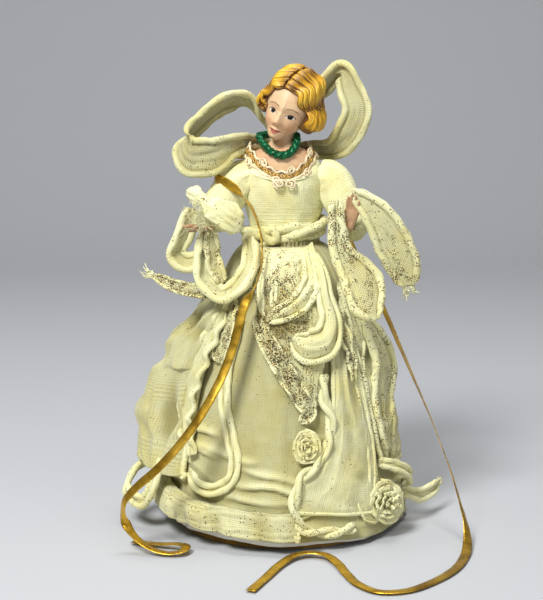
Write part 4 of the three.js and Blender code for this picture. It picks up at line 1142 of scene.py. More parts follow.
SKULL = (Vector((0, 1, 3)), Vector((15.5, 18.5, 19)))
JAW = (Vector((-0.4, -3.8, -7.5)), Vector((11.2, 13.2, 12.8)))
CHIN = (Vector((0, -9, -17)), Vector((5.6, 6.4, 5.4)))
FACE_CENTRE = Vector((0, -4, -10))
# Sideways place, height, spread sideways, spread in height, push forwards
FEATURES = ((0, -2.0, 1.5, 4.2, 1.5), (0, -7.2, 1.7, 2.8, 2.0), (0, -10.6, 1.9, 1.7, 2.5),
    (1.9, -11.3, 1.1, 1.0, 0.9), (6.1, -4.4, 3.4, 2.5, -1.9), (6.1, -4.8, 2.5, 1.6, 1.1),
    (6.4, -0.4, 4.2, 1.3, 0.6), (8.2, -10.5, 3.8, 3.8, 0.9), (0, -15.1, 2.7, 0.9, 1.1),
    (0, -17.3, 2.3, 1.0, 1.2), (0, -16.15, 3.2, 0.35, -0.6), (0, -18.7, 2.6, 0.7, -0.4),
    (0, -20.2, 3.2, 1.6, 1.6), (4.0, -16.2, 1.1, 1.5, -0.35), (0, -13.4, 0.6, 1.0, -0.3))
# Paint on the face, besides the colours that a user would change
EYELID, BROW, NOSTRIL, MOUTH = (linear(paint) for paint in ("#c08a6e", "#6f4a28", "#8a4a38", "#6d2a20"))
WHITE, IRIS, PUPIL, GLINT = (linear(paint) for paint in ("#f2ebe2", "#1c0f07", "#050303", "#ffffff"))
LASHES, LOWER_LID = (linear(paint) for paint in ("#20110a", "#7a4a34"))


def head_matrix():
    """From the head's own millimetres to the figure."""
    casting = bpy.context.scene.angel_casting
    turned = (Matrix.Rotation(casting.tilt, 4, "Y") @ Matrix.Rotation(casting.nod, 4, "X")
              @ Matrix.Rotation(casting.turn, 4, "Z"))
    return Matrix.Translation(casting.centre) @ turned @ Matrix.Scale(casting.scale * MM, 4)


def leaves(start, way, ellipsoid):
    """How far a ray from inside an ellipsoid goes before it leaves it."""
    centre, half = ellipsoid
    o = Vector([(start[i] - centre[i]) / half[i] for i in range(3)])
    d = Vector([way[i] / half[i] for i in range(3)])
    root = o.dot(d) ** 2 - d.dot(d) * (o.dot(o) - 1)
    return (math.sqrt(root) - o.dot(d)) / d.dot(d) if root > 0 else 0.0


def face_paint(x, z):
    """Paint of the face at a place, as linear colour: blush, lips, brows and eyes over the skin."""
    tints = bpy.context.scene.angel_finishes
    side = abs(x)
    skin = tuple(tints.skin)
    skin = mixed(skin, tints.blush, 0.55 * hump(side - 8.4, 3.6) * hump(z + 12, 3.4))
    nose_and_chin = 0.25 * hump(x, 2) * hump(z + 11, 2) + 0.25 * hump(x, 4) * hump(z + 20.5, 2)
    skin = mixed(skin, tints.blush, nose_and_chin)
    skin = mixed(skin, EYELID, 0.45 * hump(side - 6.2, 3.2) * hump(z + 2.4, 1.1))
    brow = -0.9 + 1.3 * (1 - ((side - 6.6) / 4.6) ** 2)
    line = ease(0.55 - abs(z - brow), -0.15, 0.3) * ease(side, 2.2, 3.2) * ease(11.2 - side, 0, 2)
    skin = mixed(skin, BROW, 0.75 * line)
    nostril = ease(1 - math.hypot((side - 1.25) / 0.7, (z + 12.5) / 0.4), 0, 0.4)
    skin = mixed(skin, NOSTRIL, 0.8 * nostril)
    # The corners of the mouth turn up a little.
    mouth = -16.3 + 0.85 * (x / 4) ** 2
    upper = mouth + 1.4 * (1 - (x / 4) ** 2) * (1 - 0.28 * hump(x, 0.7))
    lower = mouth - 1.6 * (1 - (x / 3.5) ** 2)
    if side < 4:
        skin = mixed(skin, tints.lips, 0.9 * ease(upper - z, -0.2, 0.2) * ease(z - lower, -0.2, 0.2))
        skin = mixed(skin, MOUTH, 0.8 * ease(0.3 - abs(z - mouth), 0, 0.2))
    out = (side - 6.2) / 3.0
    level = z + 4.75 - 0.3 * out
    if abs(out) < 1.15:
        bow = max(0, 1 - out * out)
        lid, under = 1.55 * bow, -1.2 * bow
        inside = ease(lid - level, -0.1, 0.15) * ease(level - under, -0.1, 0.15)
        inside *= ease(1.02 - abs(out), 0, 0.08)
        skin = mixed(skin, WHITE, inside)
        eye = math.hypot(side - 6.1, level - 0.3)
        skin = mixed(skin, IRIS, inside * ease(1.8 - eye, 0, 0.25))
        skin = mixed(skin, PUPIL, inside * ease(1.25 - eye, 0, 0.2))
        glint = math.hypot(x - math.copysign(6.1, x) + 0.45, level - 0.85)
        skin = mixed(skin, GLINT, inside * ease(0.2 - glint, 0, 0.15))
        skin = mixed(skin, LASHES, ease(0.42 - abs(level - lid), 0, 0.2) * ease(1.15 - abs(out), 0, 0.15))
        skin = mixed(skin, LOWER_LID, 0.5 * ease(0.25 - abs(level - under), 0, 0.2) * ease(out, -0.6, 0.4))
    return skin


class ANGEL_OT_casting(bpy.types.Operator):
    """Carve the head, the neck and the shoulder plate, and paint the face"""

    bl_idname = "angel.casting"
    bl_label = "Head and shoulders"

    def execute(self, context):
        skin = tuple(context.scene.angel_finishes.skin)
        blush = tuple(context.scene.angel_finishes.blush)
        to_figure = head_matrix()
        shape = new_shape()
        paint = shape.verts.layers.float_color.new("paint")
        ball = bmesh.ops.create_uvsphere(shape, u_segments=190, v_segments=150, radius=1)["verts"]
        for corner in ball:
            # The facets close up towards the middle of the face.
            turn = math.atan2(corner.co.x, -corner.co.y) / math.pi
            rise = math.asin(max(-1, min(1, corner.co.z))) / (math.pi / 2)
            turn = math.pi * turn * (0.42 + 0.58 * turn * turn)
            rise = math.pi / 2 * rise * (0.6 + 0.4 * rise * rise)
            way = Vector((math.sin(turn) * math.cos(rise), -math.cos(turn) * math.cos(rise), math.sin(rise)))
            skull, jaw, chin = (leaves(FACE_CENTRE, way, form) for form in (SKULL, JAW, CHIN))
            far = max(skull, jaw) + 0.8 * hump(skull - jaw, 1.2)
            far = max(far, chin) + 0.7 * hump(far - chin, 1.0)
            point = FACE_CENTRE + way * far
            front = ease(-way.y, 0.15, 0.5)
            push = 0.0
            for sideways, height, wide, tall, forward in FEATURES:
                spread = hump(point.x - sideways, wide) + (hump(point.x + sideways, wide) if sideways else 0)
                push += forward * spread * hump(point.z - height, tall)
            tone = mixed(skin, face_paint(point.x, point.z), front)
            point.y -= push * front
            corner.co = to_figure @ point
            corner[paint] = tone

        # From the plate's rim up the neck: height, radius, place sideways and in depth, depth as a share
        rings = ((249.6, 22.4, 0, 0, 0.78), (254.5, 22.4, -0.5, 0, 0.78), (259.5, 20.6, -1.5, -0.3, 0.79),
            (262.8, 16.6, -1.5, -0.6, 0.82), (264.8, 12.0, -1.5, -1.2, 0.9),
            (268.0, 9.0, -1.2, -1.8, 0.98), (272.5, 7.9, 0, -2, 1), (279.0, 7.8, 2, -2.5, 1),
            (287.0, 8.4, 3.6, -2.8, 1))
        loft = spline([Vector(ring[:3]) for ring in rings])
        deep = spline([Vector((ring[3], ring[4], 0)) for ring in rings])

        def place(u, v):
            turn = math.tau * u
            height, radius, sideways = loft(v)
            back, depth, _ = deep(v)
            front = max(0, math.cos(turn))
            collar = 0.9 * hump(abs(math.sin(turn)) - 0.42, 0.16) * hump(height - 261, 1.6) * front
            notch = -0.8 * hump(math.sin(turn), 0.16) * hump(height - 264, 2) * front
            radius += collar + notch
            sideways += radius * math.sin(turn)
            return Vector((sideways, back - radius * depth * math.cos(turn), height)) * MM

        neck = bend(shape, 72, 60, place, lambda u, v: (u * 0.1, v * 0.05))
        for corner in neck:
            warm = 0.3 * hump(corner.co.z / MM - 261, 4) + 0.2 * rumple(corner.co.x * 200, corner.co.y * 200)
            corner[paint] = mixed(skin, blush, max(0, warm))
        made(shape, "cast_head_and_shoulders", painted_resin(), slot="skin_paint", nodes=("head_bust",))
        return {"FINISHED"}


HAIR_CENTRE = Vector((0, 2, 2))
HAIR_MASSES = (
    (Vector((0, 3.5, 5.5)), Vector((19.5, 22.5, 22.0))),
    (Vector((-14.5, 2, -1)), Vector((5.5, 11, 12))),
    (Vector((14.6, 2, -2.5)), Vector((8, 13.5, 13))),
    (Vector((3, 14, -11)), Vector((13, 9, 12))),
)


def hair_way(turn, rise):
    """A way out of the head: degrees round from the face towards the right, and up."""
    turn, rise = math.radians(turn), math.radians(rise)
    return Vector((math.sin(turn) * math.cos(rise), -math.cos(turn) * math.cos(rise), math.sin(rise)))


def hair_reach(way):
    """How far the mass of the hair reaches from the middle of the head."""
    return max(leaves(HAIR_CENTRE, way, mass) for mass in HAIR_MASSES)


def hair_lock(shape, root, middle, end, wide, wave, phase, swell, seed):
    """Add one lock from the parting to its tip. wave counts its waves, swell is their height."""
    to_figure = head_matrix()
    root, middle, end = hair_way(*root), hair_way(*middle), hair_way(*end)
    wide *= 1 + 0.4 * rumple(seed * 1.37, 3.3)
    phase += 0.1 * rumple(seed * 0.83, 7.7)
    line = []
    for t in shares(43):
        way = (root * (1 - t) ** 2 + middle * (2 * t * (1 - t)) + end * t * t).normalized()
        sway = middle.cross(root - end).normalized()
        ripple = math.sin(math.tau * (wave * t + phase))
        way = (way + sway * (0.06 * swell * ripple * ease(t, 0.1, 0.5))).normalized()
        crest = math.cos(math.tau * (wave * t + phase))
        far = hair_reach(way) - 1.0 + swell * crest * ease(t, 0.08, 0.4)
        far += 1.5 * rumple(seed * 1.9, 0.4) + 1.2 * ease(t, 0.75, 1) - 1.6 * ease(t, 0.93, 1)
        line.append(to_figure @ (HAIR_CENTRE + way * far))
    middle_of_head = to_figure @ HAIR_CENTRE

    def radius(v, turn):
        taper = 0.85 + 0.15 * ease(v, 0, 0.3) - 0.4 * ease(v, 0.7, 1)
        return wide * MM * taper * (1 + 0.06 * math.sin(5 * turn + seed))

    def crown(u, v):
        crest = 0.5 + 0.5 * math.cos(math.tau * (wave * v + phase))
        return 0.55 * (0.5 + 0.5 * math.sin(math.tau * u)) ** 1.4 + 0.45 * crest

    tube(shape, line, radius, 12, out=lambda point: (point - middle_of_head).normalized(), flat=0.9,
         masks={"ridge": crown}, ends=0.06)


class ANGEL_OT_hair(bpy.types.Operator):
    """Lay waved locks from a side parting over the cap of the hair"""

    bl_idname = "angel.hair"
    bl_label = "Hair"

    def execute(self, context):
        to_figure = head_matrix()
        shape = new_shape("ridge")
        ridge = shape.verts.layers.float["ridge"]
        cap = bmesh.ops.create_uvsphere(shape, u_segments=64, v_segments=40, radius=1)["verts"]
        for corner in cap:
            way = corner.co.normalized()
            turn = math.degrees(math.atan2(way.x, -way.y))
            rise = math.degrees(math.asin(max(-1, min(1, way.z))))
            face = ease(60 - abs(turn + 3), 0, 8) * ease(26 - rise, 0, 8)
            under = ease(-35 - rise, 0, 15)
            far = hair_reach(way) * 0.93 * (1 - 0.5 * max(face, under))
            corner.co = to_figure @ (HAIR_CENTRE + way * far)
            corner[ridge] = 0.4

        for i, k in enumerate(shares(38)):
            root = (-12 + 182 * ease(k, 0.35, 0.8), 31 + 58 * ease(k, 0, 0.45) - 30 * ease(k, 0.55, 1))
            middle = (30 + 125 * k, 25 + 23 * ease(k, 0, 0.6))
            end = (61 + 113 * k, -22 - 12 * ease(k, 0.3, 0.6))
            hair_lock(shape, root, middle, end, 1.9, 2.2, 0.05 + 0.3 * k, 1.7, i)
        for i, k in enumerate(shares(28)):
            root = (-15 - 160 * ease(k, 0.35, 0.8), 31 + 56 * ease(k, 0, 0.45) - 30 * ease(k, 0.55, 1))
            middle = (-38 - 116 * k, 22 + 24 * ease(k, 0, 0.6))
            end = (-62 - 116 * k, -2 - 34 * ease(k, 0, 0.35))
            hair_lock(shape, root, middle, end, 1.9, 1.7, 0.5 + 0.25 * k, 1.1, i + 40)
        low = 24
        for i in range(low):
            turn = 62 + 240 * i / (low - 1)
            drop = -25 - 13 * ease(turn, 95, 150) + 8 * ease(turn, 230, 260)
            hair_lock(shape, (turn - 14, 16), (turn - 6, -14), (turn + 6, drop + 4 * (i % 2)), 2.1, 1.3,
                      0.3 + 0.3 * (i % 2), 1.7, i + 70)
        made(shape, "waved_hair", painted_hair(), slot="hair_paint", nodes=("hair",))
        return {"FINISHED"}


def cast_hand(name, node_name, wrist, elbow, pointing, knuckles):
    """Cast one hand. Its fingers point one way, and its knuckles face another."""
    forward = (wrist - elbow).normalized()
    seat = wrist + forward * (5.2 * MM)
    up = Vector(pointing).normalized()
    back = Vector(knuckles)
    back = (back - up * back.dot(up)).normalized()
    right = back.cross(up)
    turned = Matrix((right, back, up)).transposed().to_4x4()
    to_figure = Matrix.Translation(seat) @ turned @ Matrix.Scale(MM, 4)
    shape = bmesh.new()
    balls = [((0, 0, 6.5), (4.8, 2.3, 6.2)), ((-2.6, -0.8, 5), (2.4, 2.2, 3.6)),
        ((0, 0, 0.5), (3.1, 2.6, 4.5))]
    for i, tip in enumerate((19.5, 22, 21, 17.5)):
        across = -3.6 + 2.4 * i
        for t in shares(9):
            curl = -1.6 * t * t - 0.4 * i * t
            thick = 1.42 - 0.42 * t + 0.12 * math.cos(9 * t)
            balls.append(((across * (1 + 0.06 * t), curl, 9 + (tip - 9.6) * t), (thick, thick, 1.7)))
    for t in shares(8):
        half = (1.6 - 0.4 * t, 1.5 - 0.3 * t, 1.6)
        balls.append(((-3.4 - 3.4 * t, -0.8 - 1.6 * t, 4 + 7.5 * t), half))
    root = to_figure.inverted() @ (wrist - forward * (4 * MM))
    balls += [(root * t, (2.9, 2.7, 2.9)) for t in shares(6)]
    for centre, half in balls:
        place = to_figure @ Matrix.Translation(centre) @ Matrix.Diagonal((*half, 1))
        bmesh.ops.create_icosphere(shape, subdivisions=2, radius=1, matrix=place)
    rough = bpy.data.meshes.new(name)
    shape.to_mesh(rough)
    shape.free()
    lump = bpy.data.objects.new(name + "_lump", rough)
    bpy.context.scene.collection.objects.link(lump)
    melt = lump.modifiers.new("Melt", "REMESH")
    melt.mode = "VOXEL"
    melt.voxel_size = 0.42 * MM
    soften = lump.modifiers.new("Soften", "SMOOTH")
    soften.factor = 0.5
    soften.iterations = 5
    mesh = bpy.data.meshes.new_from_object(lump.evaluated_get(bpy.context.evaluated_depsgraph_get()))
    bpy.data.objects.remove(lump)
    for face in mesh.polygons:
        face.use_smooth = True
    tints = bpy.context.scene.angel_finishes
    wash = linear("#8a5c3c")
    to_hand = to_figure.inverted()
    paint = mesh.color_attributes.new("paint", "FLOAT_COLOR", "POINT")
    for corner, dab in zip(mesh.vertices, paint.data):
        spot = to_hand @ corner.co
        between = 0.5 + 0.5 * math.cos(math.tau * (spot.x + 3.6) / 2.4 + math.pi)
        groove = 0.28 * ease(spot.z, 8, 12) * between
        tips = 0.15 * ease(spot.z, 15, 21)
        flesh = mixed(tuple(tints.skin), tuple(tints.blush), min(1, groove + tips))
        dab.color = mixed(flesh, wash, 0.55)
    placed(mesh, name, painted_resin(), slot="skin_paint", nodes=(node_name,))


class ANGEL_OT_hands(bpy.types.Operator):
    """Cast the two hands: a palm, four fingers and a thumb melted into one skin"""

    bl_idname = "angel.hands"
    bl_label = "Hands"

    def execute(self, context):
        left_elbow = Vector((-47, -12, 218.3)) * MM
        right_elbow = Vector((47, -14, 211.3)) * MM
        cast_hand("cast_hand_left", "hand_left", LEFT_WRIST, left_elbow, (-0.72, -0.62, 0.22),
            (0.2, 0.5, 0.8))
        cast_hand("cast_hand_right", "hand_right", RIGHT_WRIST, right_elbow, (0.12, -0.12, 1),
            (0.15, 1, 0.1))
        return {"FINISHED"}


class ANGEL_OT_choker(bpy.types.Operator):
    """Hang the green tinsel choker on the shoulder plate"""

    bl_idname = "angel.choker"
    bl_label = "Tinsel choker"

    def execute(self, context):
        ring = []
        for i in range(24):
            turn = math.tau * i / 24 + math.pi
            front = math.cos(turn)
            ring.append(Vector((
                -4.4 + 12.8 * math.sin(turn) + 2.6 * max(0, front),
                -5 - 13.5 * front,
                271.3 - 11.3 * max(0, front) ** 1.3 + 0.8 * (1 - front),
            )) * MM)
        shape = new_shape(*GAUZE)
        twisted(shape, ring, 2, 1.75, 1.35, 9, loop=True, seed=4)
        core = sampled(ring, 150, True)
        for i, (centre, side, out) in enumerate(carried(core)[:-1]):
            for number in range(4):
                turn = math.tau * (number / 4 + 0.37 * i)
                way = (side * math.cos(turn) + out * math.sin(turn)).normalized()
                tip = centre + way * ((3.0 + 0.9 * rumple(i * 0.7, number)) * MM)
                tip += (core[i + 1] - centre) * (1.6 * rumple(i * 1.3, number + 5))
                middle_of_slit = centre + way * (2.4 * MM)
                tube(shape, [centre + way * (1.2 * MM), middle_of_slit, tip],
                     lambda v, a: 0.42 * MM * (1 - 0.6 * v), 3, ends=0.3)
        made(shape, "tinsel_choker", tinsel(), slot="green_tinsel", nodes=("choker",))
        return {"FINISHED"}


def neckline(turn, down=0.0, out=0.0):
    """A point on the neckline at an angle from the front, moved millimetres down the bodice and off it."""
    front = max(0, math.cos(turn))
    centre = Vector((
        22.6 * math.sin(turn) - 3 * (1 - front),
        -(18.4 + 4.8 * front ** 2) * math.cos(turn),
        261.6 - 16.2 * front ** 1.6,
    ))
    away = Vector((math.sin(turn), -math.cos(turn), 0))
    fall = (away * 0.5 - UP * 0.85).normalized()
    lift = (away * 0.85 + UP * 0.5).normalized()
    return (centre + fall * down + lift * out) * MM


class ANGEL_OT_braid(bpy.types.Operator):
    """Sew the scroll braid round the neckline: a gilt rope between two cream cords, with scrolls"""

    bl_idname = "angel.braid"
    bl_label = "Neckline braid"

    def execute(self, context):
        shape = new_shape("gilt")
        # Each cord: down the bodice, how far it sways, its sways round the neck, its radius and its gilt
        cords = ((-3.4, 0.9, 18, 0.85, 0.0), (-0.4, 1.2, 30, 0.72, 0.95), (-0.4, -1.2, 30, 0.72, 0.95),
                 (3.0, 0.5, 18, 1.0, 0.05))
        for down, sway, sways, size, gilt in cords:
            line = []
            for i in range(241):
                turn = math.tau * i / 240
                swayed = down + sway * math.sin(sways * turn)
                line.append(neckline(turn + math.pi, swayed, 0.5 + 0.3 * math.cos(sways * turn)))

            def radius(v, a, size=size):
                return size * MM * (1 + 0.08 * math.sin(2 * a + math.tau * 99 * v))

            tube(shape, line, radius, 8, masks={"gilt": lambda u, v, g=gilt: g}, ends=0)
        scrolls = 14
        for number in range(scrolls):
            middle = math.tau * (number + 0.5) / scrolls
            hand = 1 if number % 2 else -1
            low = 4.0 if number % 2 else -3.6
            line = []
            for t in shares(40):
                turn = hand * (math.tau * 1.5 * t + 0.6)
                reach = 3.4 * (1 - 0.78 * t)
                angle = middle + reach * math.sin(turn) / 24
                line.append(neckline(angle, low + reach * math.cos(turn), 1.2 + 0.5 * t))
            tube(shape, line, lambda v, a: 0.72 * MM, 7, masks={"gilt": lambda u, v: 0.05}, ends=0.05)
        for hand in (-1, 1):
            line = []
            for t in shares(50):
                turn = hand * (math.tau * 1.6 * t)
                reach = 3.8 * (1 - 0.8 * t)
                angle = hand * 0.14 + reach * math.sin(turn) / 24
                line.append(neckline(angle, 6.0 + reach * math.cos(turn) * 0.9, 1.4))
            tube(shape, line, lambda v, a: 0.75 * MM, 7, masks={"gilt": lambda u, v: 0.0}, ends=0.05)
        made(shape, "scroll_braid", scroll_braid(), slot="braid", nodes=("neckline_braid",))
        return {"FINISHED"}


def gauze_sleeve(name, node_name, stops, radii, seed):
    """Set in one sleeve along its stops. Stops and radii are in millimetres."""
    rows, columns = 70, 48
    line = sampled(millimetres(stops), rows)
    frames = carried(line)
    far = run_length(line)

    def place(u, v):
        centre, side, out = frames[round(v * rows)]
        turn = math.tau * u
        radius = along(radii, v) * MM
        crush = 1.1 * math.sin(v * far / (2.4 * MM) + 1.6 * math.sin(turn + seed)) * hump(v - 0.62, 0.16)
        pucker = 0.9 * math.sin(9 * turn + seed) * (hump(v - 0.08, 0.1) + hump(v - 1, 0.12))
        soft = 1.1 * round_noise(turn, 3, v * far / (16 * MM) + seed)
        radius += (crush + pucker + soft) * MM
        return centre + side * (radius * math.cos(turn)) + out * (radius * math.sin(turn))

    shape = new_shape(*GAUZE)
    bend(shape, columns, rows, place, lambda u, v: (u * 75 * MM, v * far), {
        "glitter": lambda u, v: 0.05 * ease(v, 0.6, 1),
        "shade": lambda u, v: 0.02 + 0.1 * hump(v - 0.62, 0.12),
    })
    piece = made(shape, name, gauze(), nodes=(node_name,))
    as_sheet(piece, far, "gathered", ["arm_wire"])


class ANGEL_OT_bodice(bpy.types.Operator):
    """Draw the gauze bodice over the body and set in the two sleeves"""

    bl_idname = "angel.bodice"
    bl_label = "Bodice and sleeves"

    def execute(self, context):
        # Height and radius up the body, over the foam
        profile = ((198.0, 22.8), (203, 22.8), (212, 24.2), (222.7, 27.2), (233, 29.2), (240, 29.6),
            (247, 28.8), (254, 26.6), (261.4, 21.6))
        side = spline([Vector((height, radius, 0)) for height, radius in profile])

        def place(u, v):
            turn = math.tau * u + math.pi
            front = max(0, math.cos(turn))
            height, radius, _ = side(v)
            collar = ease(v, 0.66, 1)
            height -= 16 * front ** 1.6 * collar
            radius += 6.6 * front ** 2 * collar
            bust = 2.4 * front * hump(abs(math.sin(turn)) - 0.42, 0.3) * hump(height - 236, 9)
            # Narrow pleats run across the body and close up towards the waist.
            pleat = 0.32 * math.sin(height * 2 * math.pi / 2.3 + 1.2 * round_noise(turn, 2, height / 18))
            pleat *= ease(232 - height, 0, 18) * (0.6 + 0.4 * front)
            gather = 0.5 * math.sin(38 * turn + 2 * round_noise(turn, 4, 0.5)) * ease(206 - height, 0, 8)
            soft = 0.7 * round_noise(turn, 2.5, height / 14)
            radius += bust + pleat + gather + soft
            sideways = radius * math.sin(turn) - 2.6 * collar * (1 - front)
            return Vector((sideways, -radius * 0.78 * math.cos(turn), height)) * MM

        shape = new_shape(*GAUZE)
        wide, far = 165 * MM, 64 * MM
        bend(shape, 150, 110, place, lambda u, v: (u * wide, v * far), {
            "glitter": lambda u, v: 0.03 * ease(0.25 - v, 0, 0.2),
            "shade": lambda u, v: 0.12 * ease(0.3 - v, 0, 0.3),
        })
        bodice = made(shape, "gauze_bodice", gauze(), nodes=("bodice",))
        as_sheet(bodice, far, "stretched", ["torso_form"])

        radii = (10.5, 13.2, 14.0, 13.4, 12.8, 12.4, 11.2, 8.6, 5.4, 3.3)
        gauze_sleeve("gauze_sleeve_left", "sleeve_left", ((-21, -2, 246), (-31, -3, 240.5), (-40, -7, 230),
            (-47, -12, 219), (-50, -20, 215), (-50, -27, 213.3)), radii, 1)
        gauze_sleeve("gauze_sleeve_right", "sleeve_right", ((22, -2, 246), (32, -3, 240.5), (41, -8, 226),
            (46.5, -14, 213), (46, -23, 211.5), (45, -31, 213.3)), radii, 4)
        return {"FINISHED"}


def skirt_bell(name, node_name, hem, slope, inset, material, slot, tucks, rows, held_on):
    """Hang one bell of cloth. Its edge is hem millimetres high, and lower by the slope at the right."""
    gown = bpy.context.scene.angel_gown
    columns = 280
    wide, far = 0.48, 0.215
    span = gown.waist_height - gown.hem_height
    top = gown.waist_height + 5 * MM

    def place(u, v):
        turn = math.tau * u + math.pi
        foot = (hem - slope * math.sin(turn)) * MM
        share = 1 - (1 - v) ** 1.25
        height = foot + share * (top - foot)
        level = (height - gown.hem_height) / span
        radius = bell_radius(turn, level) - inset * MM
        slack = min(1, max(0, 1 - level) * 4)
        gather = 0.9 * math.sin(54 * turn + 3 * round_noise(turn, 5, 0.5)) * hump(level - 1, 0.12)
        soft = 1.9 * round_noise(turn, 3.5, level * 1.7)
        fine = 0.9 * round_noise(turn, 11, level * 3)
        lift = gather + (soft + fine) * slack
        for tall, above, fade in lips(turn, level):
            # Each tuck swells downwards and ends in a sharp lip.
            rise = ease(0.034 - above, 0, 0.034) if above > 0 else 1 - ease(-above, 0, 0.006)
            lift += tall * fade * rise
        radius += lift * MM
        return Vector((radius * math.sin(turn), -radius * math.cos(turn), height))

    def lips(turn, level):
        """How tall each tuck is, how far above its lip a place is, and how much of it is left there."""
        for at, tall, lean, seed in tucks:
            above = level - at - lean * math.sin(turn) - 0.04 * round_noise(turn, 2.6, 3.7 * seed)
            yield tall, above, min(1, max(0, 0.6 + 2.2 * round_noise(turn, 2.4, 3.7 * seed + 9)))

    def dusty(u, v):
        turn = math.tau * u + math.pi
        fold = 0.5 - 0.5 * math.cos(gown.folds * turn + 0.6)
        level = (place(u, v).z - gown.hem_height) / span
        # The cloth is clean along the top of each tuck and dusty under its lip.
        clean = sum(fade * hump(above - 0.01, 0.009) for _, above, fade in lips(turn, level))
        under = sum(fade * hump(above + 0.008, 0.006) for _, above, fade in lips(turn, level))
        dust = 0.43 + 0.07 * math.cos(turn) + 0.14 * fold * (1 - v) + 0.2 * hump(v - 1, 0.08)
        return dust - 0.36 * min(1, clean) + 0.3 * min(1, under)

    shape = new_shape(*GAUZE)
    bend(shape, columns, rows, place, lambda u, v: (u * wide, v * far), {
        "glitter": lambda u, v: 0.03 * max(0, rumple(u * 30, v * 8)),
        "shade": dusty,
    })
    piece = made(shape, name, material, slot=slot, nodes=(node_name,))
    as_sheet(piece, far, "hung", [held_on])


class ANGEL_OT_skirt(bpy.types.Operator):
    """Hang the white lining and the gauze skirt, with its gathers and tucks"""

    bl_idname = "angel.skirt"
    bl_label = "Skirt and lining"

    def execute(self, context):
        skirt_bell("white_lining", "skirt_lining", 4, 2, 3.4, lining(), "lining", (), 60, "cone_core")
        tucks = ((0.345, 2.2, 0.004, 1), (0.275, 1.0, -0.04, 6), (0.215, 2.0, -0.08, 2),
            (0.165, 2.6, -0.06, 3), (0.125, 2.2, -0.01, 4), (0.085, 2.5, 0.03, 5), (0.05, 1.8, -0.02, 8))
        skirt_bell("gauze_skirt", "skirt", 7.5, 4.5, 0.3, gauze(), "gauze", tucks, 172, "white_lining")
        return {"FINISHED"}


class ANGEL_OT_sash(bpy.types.Operator):
    """Twist the sash round the waist and let its short tail hang"""

    bl_idname = "angel.sash"
    bl_label = "Sash"

    def execute(self, context):
        ring = []
        for i in range(20):
            turn = math.tau * i / 20 + math.pi
            across = math.sin(turn)
            ring.append(Vector((27.2 * across, -22.4 * math.cos(turn), 207.5 + 3.8 * across)) * MM)
        shape = new_shape(*GAUZE)
        twisted(shape, ring, 2, 3.1, 2.7, 74, (0.02, 0.03, 0.12, 0.5, 0.1), seed=3, loop=True, columns=14)
        below = [p + UP * (-5.4 * MM) for p in ring]
        far = twisted(shape, below, 1, 2.6, 0.5, 40, (0.05, 0.1, 0.3), seed=8, loop=True, columns=12)
        knot = millimetres(((-15, -21, 211), (-13, -25, 206), (-9, -27, 202), (-6, -27, 205),
            (-9, -26, 210), (-14, -25, 208)))
        twisted(shape, knot, 1, 3.0, 0.3, 20, (0.1,), seed=12)
        sash = made(shape, "twisted_sash", gauze(), nodes=("waist_sash",))
        cut_cloth(sash, far, "gathered", ["gauze_bodice"], sides=2)
        skirt_strip("sash_end", ((-34, 0.99, 3.5), (-29, 0.93, 3.6), (-25, 0.86, 3)), (9, 11, 9),
            nodes=("sash_tail",), held="hung", glitter=(0.1, 0.3), seed=6)
        return {"FINISHED"}


